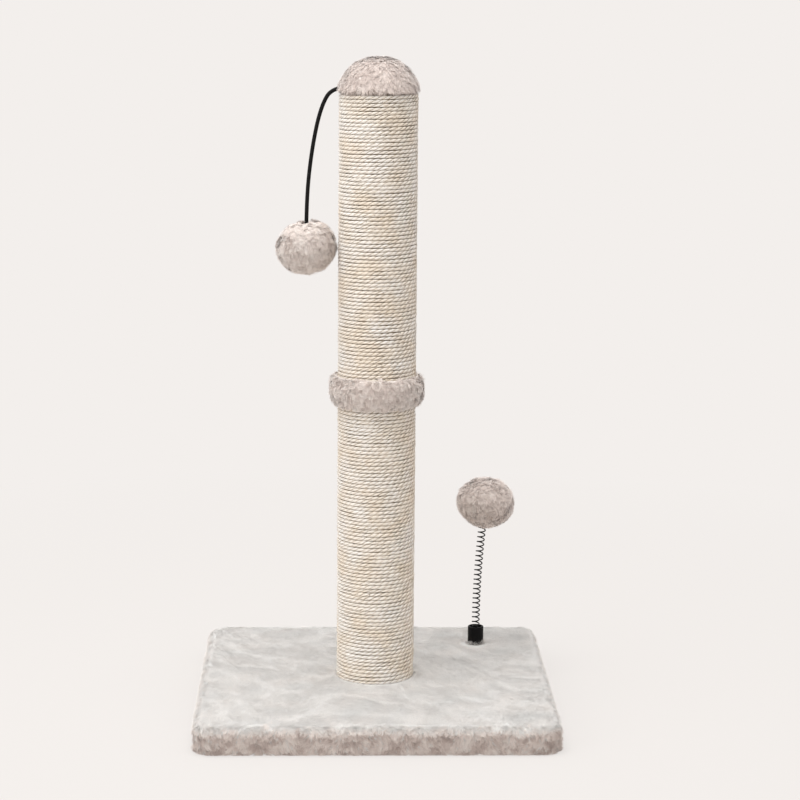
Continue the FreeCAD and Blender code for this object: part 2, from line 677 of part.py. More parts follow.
def ball(name, x, y, z, bore, bore_low, turn=None):
    """A ball's filling and plush about its middle, with a bore from the top or bottom."""
    wide, tall, pile = "(sizes.ball_wide / 2)", "(sizes.ball_tall / 2)", "sizes.ball_pile"
    sizes = {
        "skin": (wide, tall),
        "room": (f"({wide} - {pile})", f"({tall} - {pile})"),
        "core": (f"({wide} - {pile} - sizes.soft_gap)", f"({tall} - {pile} - sizes.soft_gap)"),
    }
    made = {
        part: solid(f"{name}_{part}_form", "Ellipsoid", Radius1=up, Radius2=out, Radius3=out)
        for part, (out, up) in sizes.items()
    }
    skin_bore = solid(f"{name}_skin_bore", "Cylinder", z=bore_low["skin"], Radius=bore["skin"], Height=tall)
    core_bore = solid(f"{name}_core_bore", "Cylinder", z=bore_low["core"], Radius=bore["core"], Height=tall)
    core = less(f"{name}_core", made["core"], core_bore)
    skin = less(f"{name}_plush", made["skin"], made["room"], skin_bore)
    for part, item in (("core", core), ("plush", skin)):
        place(item, x, y, z)
        if turn:
            item.Placement.Rotation = FreeCAD.Rotation(Vector(0, 1, 0), 1)
            item.setExpression("Placement.Rotation.Angle", turn)
        node(f"{name}_{part}", item)


hanging_cord()
cord_end = f"({cord_route[-1][1]})"
knot_top = f"({cord_end} - sizes.hanging_ball_z)"
ball("hanging_ball", "sizes.hanging_ball_x", "0", "sizes.hanging_ball_z",
     bore={"skin": "sizes.cord_thick / 2 + 2 * sizes.soft_gap",
           "core": "sizes.knot_size / 2 + sizes.soft_gap"},
     bore_low={"skin": "0", "core": f"{knot_top} - sizes.knot_size - sizes.soft_gap"})


def cord_knot():
    """The knot that keeps the cord in the ball: a bead of rope with a flat top."""
    radius, flat = "(sizes.knot_size / 2)", "(sizes.knot_flat / 2)"
    low, bevel = "(-sizes.knot_size)", "sizes.knot_bevel"
    body = turned("cord_knot", [
        ("0", low), (flat, low), (radius, f"({low} + {bevel})"),
        (radius, f"(-{bevel})"), (flat, "0"), ("0", "0"),
    ])
    place(body, "sizes.hanging_ball_x", "0", cord_end)
    node("cord_knot", body)


cord_knot()


# ---------------------------------------------------------------- ball on the spring
def spring_holder():
    """A black moulded socket: a wide mouth, a bore for the spring and a pilot hole for the screw."""
    outer, mouth = "(sizes.holder_outer / 2)", "(sizes.holder_mouth / 2)"
    rim = "sizes.holder_rim"
    mouth_floor = f"({holder_top} - sizes.holder_mouth_deep)"
    seat = f"({holder_top} - sizes.spring_seat_deep)"
    pilot_top = f"({foot} + sizes.screw_bite + sizes.glue_gap)"
    body = turned("spring_holder", [
        (screw_bore, foot), (outer, foot),
        (outer, f"({holder_top} - {rim})"), (f"({outer} - {rim})", holder_top),
        (mouth, holder_top), (mouth, mouth_floor), (spring_bore, mouth_floor), (spring_bore, seat),
        ("0", seat), ("0", pilot_top), (screw_bore, pilot_top),
    ], {2: (rim, 1)})
    place(body, holder_x, holder_y)
    node("spring_holder", body)


def holder_screw():
    """Countersunk wood screw up through the board into the holder. Its thread is left plain."""
    head, shank = "(sizes.screw_head / 2)", "(sizes.screw_thick / 2)"
    neck, tip = f"({board_bottom} + sizes.screw_head_tall)", f"({foot} + sizes.screw_bite)"
    body = turned("holder_screw", [
        ("0", board_bottom), (head, board_bottom), (shank, neck), (shank, f"({tip} - {shank})"), ("0", tip),
    ])
    pocket(body, "screw_cross", lambda s: cross(s, "sizes.screw_cross", "sizes.screw_cross_wide"),
           "sizes.screw_cross_deep", board_bottom)
    place(body, holder_x, holder_y)
    node("holder_screw", body)


def biarc(start, way_in, stop, way_out):
    """Two arcs that join two points along given directions."""
    across, both = stop - start, way_in + way_out
    bend = 2 * (1 - way_in.dot(way_out))
    reach = (math.sqrt(across.dot(both) ** 2 + bend * across.dot(across)) - across.dot(both)) / bend
    middle = (start + way_in * reach + stop - way_out * reach) / 2
    halves = ((start, start + way_in * reach, middle), (middle, stop - way_out * reach, stop))
    arcs = []
    for first, corner, last in halves:
        chord = last - first
        bulge = corner - (first + last) / 2
        quarter = math.atan2(bulge.Length, chord.Length / 2) / 2
        crown = (first + last) / 2 + bulge.normalize() * math.tan(quarter) * chord.Length / 2
        arcs.append(Part.Arc(first, crown, last).toShape())
    return arcs


def spring_line(along):
    """The spring's centre line, and its direction, at a distance from the holder's mouth."""
    mouth = Vector(amount(holder_x), amount(holder_y), amount(holder_top))
    if along <= 0:
        return mouth + Vector(0, 0, along), Vector(0, 0, 1)
    lean = amount("sizes.spring_lean_radius")
    turn = along / lean
    way = Vector(math.sin(turn), 0, math.cos(turn))
    return mouth + Vector(lean * (1 - math.cos(turn)), 0, lean * math.sin(turn)), way


def toy_spring():
    """One unbroken coil from its seat in the holder to its end in the ball."""
    wire, pitch = amount("sizes.spring_wire"), amount("sizes.spring_pitch")
    radius = (amount("sizes.spring_outer") - wire) / 2
    low = -amount("sizes.spring_seat_deep") + wire / 2 + amount("sizes.soft_gap")
    high = amount("sizes.spring_free - sizes.spring_short") - wire / 2
    halves = int(round((high - low) / pitch * 2))
    side = Vector(0, 1, 0)

    def point(half_turns):
        along = low + (high - low) * half_turns / halves
        centre, way = spring_line(along)
        angle = math.pi * half_turns
        return centre + (side.cross(way) * math.cos(angle) + side * math.sin(angle)) * radius

    def direction(half_turns, step=1e-4):
        return (point(half_turns + step) - point(half_turns - step)).normalize()

    edges = []
    start, stop = point(0), point(halves)
    edges.append(Part.LineSegment(start - direction(0) * wire, start).toShape())
    for half in range(halves):
        edges += biarc(point(half), direction(half), point(half + 1), direction(half + 1))
    edges.append(Part.LineSegment(stop, stop + direction(halves) * wire).toShape())
    path = Part.Wire(edges)
    profile = Part.Wire(Part.makeCircle(wire / 2, start - direction(0) * wire, direction(0)))
    coil = path.makePipeShell([profile], True, False)
    samples = [point(i / 8) for i in range(8 * halves + 1)]
    least = min(
        (a - b).Length for i, a in enumerate(samples) for b in samples[i + 8:i + 40]
    ) - wire
    print("spring turns", halves / 2, "least gap to itself", round(least, 2))
    expected = math.pi * (wire / 2) ** 2 * path.Length
    print("spring volume", round(coil.Volume, 1), "against", round(expected, 1))
    assert least > 0.4, "the spring's turns touch"
    node("toy_spring", shaped("toy_spring", coil))


spring_holder()
holder_screw()
toy_spring()
spring_room = "sizes.spring_outer / 2 + sizes.spring_gap"
ball("spring_ball", spring_ball_x, holder_y, spring_ball_z,
     bore={"skin": spring_room, "core": spring_room},
     bore_low={"skin": "-sizes.ball_tall / 2",
               "core": "-sizes.ball_tall / 2 - sizes.spring_short + sizes.soft_gap"},
     turn=f"{lean_turn} * 1 deg")

# ---------------------------------------------------------------- check and write
doc.recompute()
for item in doc.Objects:
    assert "Invalid" not in item.State and "Error" not in item.State, f"{item.Label} failed: {item.State}"
for item in nodes:
    shape = item.Shape
    assert not shape.isNull() and shape.isValid(), f"{item.Label} has no valid shape"
    assert shape.Solids, f"{item.Label} holds no solid"
for item in nodes:
    item.Shape.exportStep(f"parts/{item.Label}.step")
print(len(nodes), "nodes written")
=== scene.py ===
import math
import bpy
import numpy as np
from mathutils import Matrix, Vector
from mathutils.kdtree import KDTree


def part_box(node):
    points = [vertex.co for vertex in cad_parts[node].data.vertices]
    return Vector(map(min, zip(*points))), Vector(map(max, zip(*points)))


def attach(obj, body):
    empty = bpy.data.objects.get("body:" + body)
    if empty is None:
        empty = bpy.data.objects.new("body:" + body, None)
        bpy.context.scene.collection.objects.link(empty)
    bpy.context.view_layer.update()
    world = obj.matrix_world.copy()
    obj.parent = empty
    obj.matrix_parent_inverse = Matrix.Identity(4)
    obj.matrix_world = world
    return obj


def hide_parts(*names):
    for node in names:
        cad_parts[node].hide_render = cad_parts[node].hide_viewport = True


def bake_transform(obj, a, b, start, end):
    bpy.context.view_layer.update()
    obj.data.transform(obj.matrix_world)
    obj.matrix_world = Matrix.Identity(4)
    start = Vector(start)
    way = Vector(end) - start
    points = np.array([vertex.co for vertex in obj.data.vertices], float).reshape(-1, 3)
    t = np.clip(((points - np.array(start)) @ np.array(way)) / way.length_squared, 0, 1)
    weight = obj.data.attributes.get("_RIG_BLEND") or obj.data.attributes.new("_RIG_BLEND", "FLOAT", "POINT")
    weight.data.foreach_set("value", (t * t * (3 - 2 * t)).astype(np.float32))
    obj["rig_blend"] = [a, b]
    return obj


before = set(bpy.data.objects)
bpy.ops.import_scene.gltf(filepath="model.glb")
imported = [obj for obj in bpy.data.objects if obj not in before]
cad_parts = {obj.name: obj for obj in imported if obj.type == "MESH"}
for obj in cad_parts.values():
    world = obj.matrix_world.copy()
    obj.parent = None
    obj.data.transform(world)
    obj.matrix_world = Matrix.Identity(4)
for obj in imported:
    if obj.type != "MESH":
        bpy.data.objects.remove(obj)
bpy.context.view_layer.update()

# Cat scratching post: a plush base, two rope-wound tubes with a plush collar and dome, a ball on an
# elastic cord and a ball on a coil spring. Metres, +Z up, the front towards -Y.
mm = 0.001
print("frame loaded", len(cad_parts), "nodes")


# ---- small helpers for materials and meshes
def linear(code):
    # sRGB hex code to the linear colour that sockets hold
    parts = [int(code[i:i + 2], 16) / 255 for i in (1, 3, 5)]
    return [c / 12.92 if c <= 0.04045 else ((c + 0.055) / 1.055) ** 2.4 for c in parts] + [1.0]


def addNode(tree, kind, settings=None, links=None):
    node = tree.nodes.new("ShaderNode" + kind)
    for name, value in (settings or {}).items():
        if name == "stops":
            while len(node.color_ramp.elements) < len(value):
                node.color_ramp.elements.new(0.5)
            for element, (place, code) in zip(node.color_ramp.elements, value):
                element.position, element.color = place, linear(code)
        elif isinstance(name, int) or name in node.inputs:
            node.inputs[name].default_value = value
        else:
            setattr(node, name, value)
    for name, source in (links or {}).items():
        tree.links.new(source, node.inputs[name])
    return node


def emptyTree(owner):
    owner.use_nodes = True
    owner.node_tree.nodes.clear()
    return owner.node_tree


def newFinish(name, settings):
    # a material with one Principled shader, whose constant values sit on its own sockets
    material = bpy.data.materials.new(name)
    tree = emptyTree(material)
    shader = addNode(tree, "BsdfPrincipled", settings)
    addNode(tree, "OutputMaterial", None, {"Surface": shader.outputs[0]})
    return material, tree, shader


def ramp(tree, stops, source):
    return addNode(tree, "ValToRGB", {"stops": stops}, {"Fac": source}).outputs[0]


def noise(tree, size, source, settings):
    # a noise pattern whose patches are about size millimetres
    return addNode(tree, "TexNoise", dict(settings, Scale=1 / (size * mm)), {"Vector": source}).outputs["Fac"]


def maths(tree, operation, *values):
    # numbers sit on the node's own sockets, and the other values are links
    numbers = {i: value for i, value in enumerate(values) if isinstance(value, (int, float))}
    sources = {i: value for i, value in enumerate(values) if i not in numbers}
    return addNode(tree, "Math", {"operation": operation, **numbers}, sources).outputs[0]


def times(tree, one, other):
    mixed = addNode(tree, "MixRGB", {"blend_type": "MULTIPLY", "Fac": 1.0}, {"Color1": one, "Color2": other})
    return mixed.outputs[0]


def paint(tree, shader, tone, height=None, strength=0.0, depth=0.0):
    # the shader's colour and, where there is a height, its relief of depth millimetres
    tree.links.new(tone, shader.inputs["Base Color"])
    if height:
        bump = addNode(tree, "Bump", {"Strength": strength, "Distance": depth * mm}, {"Height": height})
        tree.links.new(bump.outputs[0], shader.inputs["Normal"])


def newPiece(name, points, faceGroups, material, loopUv=None):
    # a mesh object from arrays: points (n, 3) and groups of triangles or quads
    mesh = bpy.data.meshes.new(name)
    corners = np.concatenate([g.ravel() for g in faceGroups]).astype(np.int32)
    sizes = np.concatenate([np.full(len(g), g.shape[1]) for g in faceGroups]).astype(np.int32)
    starts = np.concatenate([[0], np.cumsum(sizes)[:-1]]).astype(np.int32)
    mesh.vertices.add(len(points))
    mesh.vertices.foreach_set("co", np.asarray(points, np.float32).ravel())
    mesh.loops.add(len(corners))
    mesh.loops.foreach_set("vertex_index", corners)
    mesh.polygons.add(len(sizes))
    mesh.polygons.foreach_set("loop_start", starts)
    mesh.polygons.foreach_set("loop_total", sizes)
    mesh.polygons.foreach_set("use_smooth", np.ones(len(sizes), bool))
    if loopUv is not None:
        layer = mesh.uv_layers.new(name="OFBake")
        layer.data.foreach_set("uv", np.asarray(loopUv, np.float32).ravel())
    mesh.update(calc_edges=True)
    mesh.validate()
    mesh.materials.append(material)
    piece = bpy.data.objects.new(name, mesh)
    bpy.context.scene.collection.objects.link(piece)
    return piece


def loftPiece(name, rings, material, loop=False):
    # skin over rings (r, n, 3); loop joins the last ring to the first, and rings of no size weld to a pole
    rowCount, count = rings.shape[:2]
    rows = np.arange(rowCount if loop else rowCount - 1)[:, None]
    spots = np.arange(count)[None, :]
    nextRows, nextSpots = (rows + 1) % rowCount, (spots + 1) % count
    quads = np.stack([rows * count + spots, rows * count + nextSpots,
                      nextRows * count + nextSpots, nextRows * count + spots], -1).reshape(-1, 4)
    u = np.stack([spots, spots + 1, spots + 1, spots], -1) / count + 0 * rows[..., None]
    v = np.stack([rows, rows, rows + 1, rows + 1], -1) / len(rows) + 0 * spots[..., None]
    loopUv = np.stack([u, v], -1).reshape(-1, 2)
    piece = newPiece(name, rings.reshape(-1, 3), [quads], material, loopUv)
    weld = piece.modifiers.new("weld", "WELD")
    weld.merge_threshold = 1e-7
    return applied(piece)


def tubePiece(name, line, rings, material):
    # rings along a line, closed to a point at both ends
    tips = [np.repeat(line[i][None, None], rings.shape[1], 1) for i in (0, -1)]
    return loftPiece(name, np.concatenate([tips[0], rings, tips[1]]), material)


def bladeFaces(count, each, rungs):
    # the quads of blades that have each points, in pairs up the blade
    first = (np.arange(count) * each)[:, None, None]
    pairs = np.arange(rungs)[:, None] * 2 + np.array([0, 1, 3, 2])
    return first, (first + pairs[None]).reshape(-1, 4)


def applied(piece):
    # the piece with its modifiers made part of the mesh
    graph = bpy.context.evaluated_depsgraph_get()
    mesh = bpy.data.meshes.new_from_object(piece.evaluated_get(graph))
    piece.modifiers.clear()
    old, piece.data = piece.data, mesh
    mesh.name = piece.name
    bpy.data.meshes.remove(old)
    return piece


def softNoise(points, size, seed, waves=16):
    # smooth random values about 0 with a spread of 1, whose bumps are about size across
    rng = np.random.default_rng(seed)
    ways = rng.normal(size=(waves, 3))
    ways *= 2 * math.pi / size * rng.uniform(0.55, 1.5, (waves, 1)) / np.linalg.norm(ways, axis=1)[:, None]
    return np.sin(points @ ways.T + rng.uniform(0, 2 * math.pi, waves)).sum(axis=-1) / math.sqrt(waves / 2)


def sweeps(points, parts):
    # several noises together, each as (size in mm, seed, share)
    return sum(softNoise(points, size * mm, seed) * share for size, seed, share in parts)


def unit(vectors):
    return vectors / np.maximum(np.linalg.norm(vectors, axis=-1, keepdims=True), 1e-12)


def turned(vectors, axes, angles):
    # vectors square to their axes, turned about them
    return vectors * np.cos(angles)[:, None] + np.cross(axes, vectors) * np.sin(angles)[:, None]


# ---- camera, light, floor
photoView = {
    "place": (-0.0447, -2.3102, 0.7324),
    "yaw": 1.670, "pitch": 8.865, "roll": 0.467,   # degrees, from the base's corners and the post's sides
    "lens": 106.485, "sensor": 36.0, "shiftY": -0.08,
}


def addCamera(view):
    yaw, pitch, roll = (math.radians(view[k]) for k in ("yaw", "pitch", "roll"))
    right = Vector((math.cos(yaw), -math.sin(yaw), 0))
    ahead = Vector((math.sin(yaw) * math.cos(pitch), math.cos(yaw) * math.cos(pitch), -math.sin(pitch)))
    up = right.cross(ahead)
    across = right * math.cos(roll) + up * math.sin(roll)
    upright = up * math.cos(roll) - right * math.sin(roll)
    data = bpy.data.cameras.new("photoCamera")
    data.lens, data.sensor_width, data.shift_y = view["lens"], view["sensor"], view["shiftY"]
    camera = bpy.data.objects.new("photoCamera", data)
    camera.matrix_world = Matrix.Translation(view["place"]) @ Matrix((across, upright,
            -ahead)).transposed().to_4x4()
    bpy.context.scene.collection.objects.link(camera)
    bpy.context.scene.camera = camera


studio = {
    "backdrop": "#f3efec",
    "ambient": 0.70,          # strength of the even light from all round
    "lamps": (                # name, place, size, power: a wide lamp above and a softer one at the left
        ("overheadLamp", (-0.2, -0.25, 2.6), 1.8, 60.5),
        ("leftLamp", (-2.2, -1.9, 1.2), 1.4, 20.0),
    ),
    "aim": (0.0, 0.0, 0.3),
    "shadowShare": 0.30,      # how much of the floor's own shadow the camera sees
    "floorColour": "#cdc8c4",
    "fade": (0.25, 1.1),      # where the floor's shadow starts and ends to fade into the backdrop
    "floorHalf": 30.0, "floorLow": -0.0004,
}


def addLight(light):
    world = bpy.data.worlds.new("studioWorld")
    bpy.context.scene.world = world
    tree = emptyTree(world)
    rays = addNode(tree, "LightPath")
    seen = maths(tree, "MAXIMUM", rays.outputs["Is Camera Ray"], rays.outputs["Is Glossy Ray"])
    seen = maths(tree, "MAXIMUM", seen, rays.outputs["Is Transmission Ray"])
    even = addNode(tree, "Background", {"Color": (1, 1, 1, 1), "Strength": light["ambient"]})
    back = addNode(tree, "Background", {"Color": linear(light["backdrop"]), "Strength": 1.0})
    both = addNode(tree, "MixShader", None, {0: seen, 1: even.outputs[0], 2: back.outputs[0]})
    addNode(tree, "OutputWorld", None, {"Surface": both.outputs[0]})
    for name, place, size, power in light["lamps"]:
        data = bpy.data.lights.new(name, "AREA")
        data.size, data.energy = size, power
        lamp = bpy.data.objects.new(name, data)
        lamp.matrix_world = Matrix.Translation(place) @ (
            Vector(place) - Vector(light["aim"])).to_track_quat("Z", "Y").to_matrix().to_4x4()
        bpy.context.scene.collection.objects.link(lamp)


def addFloor(light):
    # a pale floor that keeps the object's shadow and fades into the backdrop
    material = bpy.data.materials.new("paintedStudioFloor")
    tree = emptyTree(material)
    rays = addNode(tree, "LightPath")
    coords = addNode(tree, "TexCoord")
    away = addNode(tree, "VectorMath", {"operation": "LENGTH"}, {0: coords.outputs["Object"]})
    start, end = light["fade"]
    fade = addNode(tree, "MapRange", {"From Min": start, "From Max": end, "To Min": 1 - light["shadowShare"]},
                   {"Value": away.outputs["Value"]})
    share = maths(tree, "MULTIPLY", rays.outputs["Is Camera Ray"], fade.outputs[0])
    surface = addNode(tree, "BsdfDiffuse", {"Color": linear(light["floorColour"])})
    glow = addNode(tree, "Emission", {"Color": linear(light["backdrop"]), "Strength": 1.0})
    both = addNode(tree, "MixShader", None, {0: share, 1: surface.outputs[0], 2: glow.outputs[0]})
    addNode(tree, "OutputMaterial", None, {"Surface": both.outputs[0]})
    reach, low = light["floorHalf"], light["floorLow"]
    corners = np.array([(x * reach, y * reach, low) for x, y in ((-1, -1), (1, -1), (1, 1), (-1, 1))])
    floor = newPiece("floor", corners, [np.array([[0, 1, 2, 3]])], material)


addCamera(photoView)
addLight(studio)
addFloor(studio)
bpy.context.scene.view_settings.view_transform = "Standard"
print("camera, light and floor")


# ---- the elastic cord, first, because its room is measured
elasticCord = {
    # the route's points, x and z in millimetres at y 0: out of the dome and down into the ball
    "route": [(-26.0, 616.9), (-44.5, 616.9), (-55.8, 598.7), (-64.3, 560.3), (-70.1, 509.0), (-70.1, 472.0)],
    "thick": 4.0, "sides": 20, "step": 0.35,
    "plaits": 8, "plaitLength": 7.0, "plaitRelief": 0.10,
    "length": 0.165,
    # where the cord passes from one body to the next, either side of its upper bend (metres)
    "bend": ((-0.0435, 0, 0.6165), (-0.0565, 0, 0.5965)),
}


def routeLine(points, resolution):
    # the points of a smooth spline through the route
    data = bpy.data.curves.new("cordRoute", "CURVE")
    data.dimensions = "3D"
    spline = data.splines.new("NURBS")
    spline.points.add(len(points) - 1)
    for point, place in zip(spline.points, points):
        point.co = (*place, 1.0)
    spline.order_u = 3
    spline.use_endpoint_u = True
    spline.resolution_u = resolution
    guide = bpy.data.objects.new("cordRoute", data)
    mesh = bpy.data.meshes.new_from_object(guide)
    line = np.array([v.co for v in mesh.vertices])
    bpy.data.objects.remove(guide)
    bpy.data.meshes.remove(mesh)
    return line


def spaced(line, step):
    # a line's points again, evenly spaced
    reach = np.concatenate([[0], np.cumsum(np.linalg.norm(np.diff(line, axis=0), axis=1))])
    places = np.linspace(0, reach[-1], int(reach[-1] / step) + 1)
    return np.stack([np.interp(places, reach, line[:, i]) for i in range(3)], -1), places


def lineFrames(line, side):
    # tangents and two square directions along a line, the first as near as it can be to side
    tangents = unit(np.gradient(line, axis=0))
    first = unit(side - tangents * (tangents @ side)[:, None])
    return tangents, first, np.cross(tangents, first)


def elasticFinish():
    # elastic cord, plaited polyester over rubber: dull black with fine ridges
    material, tree, shader = newFinish("plaitedElastic", {"Roughness": 0.6, "Specular IOR Level": 0.18})
    space = addNode(tree, "TexCoord").outputs["Object"]
    threads = noise(tree, 0.9, space, {"Detail": 3.0})
    paint(tree, shader, ramp(tree, [(0.3, "#030303"), (0.7, "#0c0b0b")], threads), threads, 0.5, 0.1)
    return material


def makeCord(cord):
    points = [(x * mm, 0.0, z * mm) for x, z in cord["route"]]
    line, places = spaced(routeLine(points, 64), cord["step"] * mm)
    _, first, second = lineFrames(line, np.array((0, 1, 0)))
    angles = np.arange(cord["sides"]) * 2 * math.pi / cord["sides"]
    turn = places[:, None] * 2 * math.pi / (cord["plaitLength"] * mm)
    half = cord["plaits"] / 2
    relief = np.sin(half * (angles[None] + turn)) * np.sin(half * (angles[None] - turn))
    radius = cord["thick"] / 2 * mm + relief * cord["plaitRelief"] * mm
    rings = (line[:, None] + first[:, None] * (radius * np.cos(angles))[..., None]
             + second[:, None] * (radius * np.sin(angles))[..., None])
    piece = tubePiece("elastic_cord", line, rings, elasticFinish())
    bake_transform(piece, "swing_cord", "swing_ball", start=cord["bend"][0], end=cord["bend"][1])
    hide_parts("hanging_cord")


makeCord(elasticCord)
print("elastic cord")


# ---- plush: the pile's own threads, in tufts, over a dense ground
plushTones = {
    # tones along the tufts, by tone value: at a thread's foot, darkened as painted shade from its neighbours,
    # and at its tip
    "foot": [(0.0, "#8f7b73"), (0.32, "#bfb0a8"), (0.62, "#dfd5ce"), (1.0, "#cdccc9")],
    "tip": [(0.0, "#c8b7af"), (0.32, "#e6d9d1"), (0.62, "#f1e8e1"), (1.0, "#d3d2cf")],
}


def plushThreadFinish():
    # polyester plush, sheared and brushed: soft off-white tips over feet darkened to taupe as painted shade,
    # with a silky sheen
    material, tree, shader = newFinish("brushedPlushThread", {
        "Roughness": 0.72, "Specular IOR Level": 0.28, "Sheen Weight": 0.9, "Sheen Roughness": 0.45})
    place = addNode(tree, "UVMap", {"uv_map": "OFBake"})
    parts = addNode(tree, "SeparateXYZ", None, {0: place.outputs[0]})
    foot, tip = (ramp(tree, plushTones[end], parts.outputs[0]) for end in ("foot", "tip"))
    # the mix from foot to tip along each thread lays painted shade on the thread's lower part
    tone = addNode(tree, "MixRGB", None, {"Fac": parts.outputs[1], "Color1": foot, "Color2": tip})
    paint(tree, shader, tone.outputs[0])
    return material


def plushGroundFinish(name, stops):
    # the plush's knitted ground with the dense feet of its pile: matt, in soft clouds
    material, tree, shader = newFinish(name, {
        "Roughness": 0.9, "Specular IOR Level": 0.15, "Sheen Weight": 0.3, "Sheen Roughness": 0.5})
    space = addNode(tree, "TexCoord").outputs["Object"]
    clouds = noise(tree, 9, space, {"Detail": 5.0, "Roughness": 0.65})
    threads = noise(tree, 0.7, space, {"Detail": 3.0})
    paint(tree, shader, ramp(tree, stops, clouds), threads, 0.8, 0.5)
    return material


threadFinish = plushThreadFinish()
groundFinish = plushGroundFinish("plushGround", [(0.3, "#cfc2ba"), (0.5, "#dfd5ce"), (0.7, "#ebe4de")])
coverGroundFinish = plushGroundFinish("coverPlushGround",
                                      [(0.3, "#d0ceca"), (0.5, "#d7d5d2"), (0.7, "#dcdad7")])


def spreadOver(tuft, tuftCount, rng):
    # random values with a share that a whole tuft has in common and a share of each thread's own
    def spread(tuftShare, ownShare):
        return rng.normal(size=tuftCount)[tuft] * tuftShare + rng.normal(size=len(tuft)) * ownShare
    return spread


def tuftsOf(roots, perTuft, rng):
    # some threads are hubs, and each thread belongs to the tuft of the nearest
    hubs = rng.choice(len(roots), max(1, int(len(roots) / perTuft)), replace=False)
    tree = KDTree(len(hubs))
    for i, hub in enumerate(hubs):
        tree.insert(roots[hub], i)
    tree.balance()
    return hubs, np.array([tree.find(root)[1] for root in roots])


def threadLines(roots, normals, combs, pile, hubs, tuft, spread, rng):
    # the middle line of each thread: it leans over along its comb, and a tuft's tips draw together
    combs = unit(combs - normals * (combs * normals).sum(1)[:, None])
    combs = turned(combs, normals, spread(*pile["stray"]))
    sides = np.cross(normals, combs)
    length = pile["length"] * mm * np.clip(1 + spread(0.10, 0.10), 0.5, 1.5)
    rise = np.clip(pile["rise"] * (1 + pile["uneven"] * spread(0.22, 0.18)), 0.04, 0.95)
    run = np.sqrt(1 - rise ** 2)
    t = np.linspace(0, 1, pile["bends"] + 1)
    lift = (1 - (1 - t) ** pile["bow"])[None] * rise[:, None]
    drift = (t ** (0.7 + 0.3 * pile["bow"]))[None] * run[:, None]
    phase = rng.uniform(0, 6.28, len(hubs))[tuft]
    curl = np.sin(4.0 * t[None] + phase[:, None]) * t[None] * pile["curl"]
    lines = roots[:, None] + length[:, None, None] * (
        normals[:, None] * lift[..., None] + combs[:, None] * drift[..., None]
        + sides[:, None] * curl[..., None])
    return lines + (lines[hubs[tuft]] - lines) * (np.reshape(pile["gather"], (-1, 1)) * t ** 2)[..., None]


def threadBlades(lines, normals, pile, rng):
    # a tapered blade along each line, as its points and the directions that they shade by; a blade
    # that shows its back shades as if lit from within, so blades lie near the surface
    count, levels = lines.shape[:2]
    t = np.linspace(0, 1, levels)
    along = unit(np.gradient(lines, axis=1))
    tilt = rng.uniform(-1, 1, count)[:, None, None] * pile["tilt"]
    across = unit(np.cross(along, normals[:, None]))
    across = unit(across * np.cos(tilt) + normals[:, None] * np.sin(tilt))
    face = unit(np.cross(across, along))
    half = pile["width"] / 2 * mm * (1 - 0.75 * t ** 2)[None, :, None] * rng.uniform(0.75, 1.25,
            (count, 1, 1))
    points = np.stack([lines - across * half, lines + across * half], 2)[:, :-1].reshape(count, -1, 3)
    points = np.concatenate([points, lines[:, -1:]], 1)
    soft = unit(face + normals[:, None] * np.reshape(pile["soft"], (-1, 1, 1)))
    shading = np.stack([unit(soft - across * 0.22), unit(soft + across * 0.22)], 2)[:, :-1].reshape(count,
            -1, 3)
    return points, np.concatenate([shading, soft[:, -1:]], 1)


def growPile(name, roots, normals, combs, pile, keepClear=None, paintedLight=0.0, pressed=None):
    # threads in tufts; rise, gather, soft and mottle may be given thread by thread
    pile = {**{"uneven": 1.0, "speckle": (0.45, 0.4), "depth": 1.0}, **pile}
    rng = np.random.default_rng(pile["seed"])
    levels = pile["bends"] + 1
    hubs, tuft = tuftsOf(roots, pile["perTuft"], rng)
    spread = spreadOver(tuft, len(hubs), rng)
    lines = threadLines(roots, normals, combs, pile, hubs, tuft, spread, rng)
    if pressed:
        lines = pressed(lines)
    if "lowest" in pile:
        lines[..., 2] = np.maximum(lines[..., 2], pile["lowest"] * mm)
    keep = np.ones(len(roots), bool) if keepClear is None else ~keepClear(lines)
    points, shading = (part[keep] for part in threadBlades(lines, normals, pile, rng))

    each = 2 * levels - 1
    first, quads = bladeFaces(len(points), each, levels - 2)
    tips = (first + np.array([[each - 3, each - 2, each - 1]])[None]).reshape(-1, 3)
    clouds = softNoise(roots, pile["cloud"] * mm, pile["seed"] + 1)
    # paintedLight shifts each thread's tone: up for painted light, down for painted shade
    shade = pile["shade"] + paintedLight + pile["mottle"] * (clouds + spread(*pile["speckle"]))
    shade = np.clip(shade, 0.02, 0.95)[keep]
    heights = np.concatenate([np.repeat(np.linspace(0, 1, levels)[:-1], 2), [1.0]])
    u = shade[:, None] + np.array([0, 0.012] * (levels - 1) + [0.006])[None]
    # depth sets how much of the foot's painted shade shows at each thread's root
    v = np.broadcast_to(0.98 - 0.96 * pile["depth"] * (1 - heights[None]), u.shape)
    pointUv = np.stack([u, v], -1).reshape(-1, 2)
    corners = np.concatenate([quads.ravel(), tips.ravel()])
    piece = newPiece(name, points.reshape(-1, 3), [quads, tips], threadFinish, pointUv[corners])
    piece.data.normals_split_custom_set_from_vertices(shading.reshape(-1, 3).tolist())
    return piece


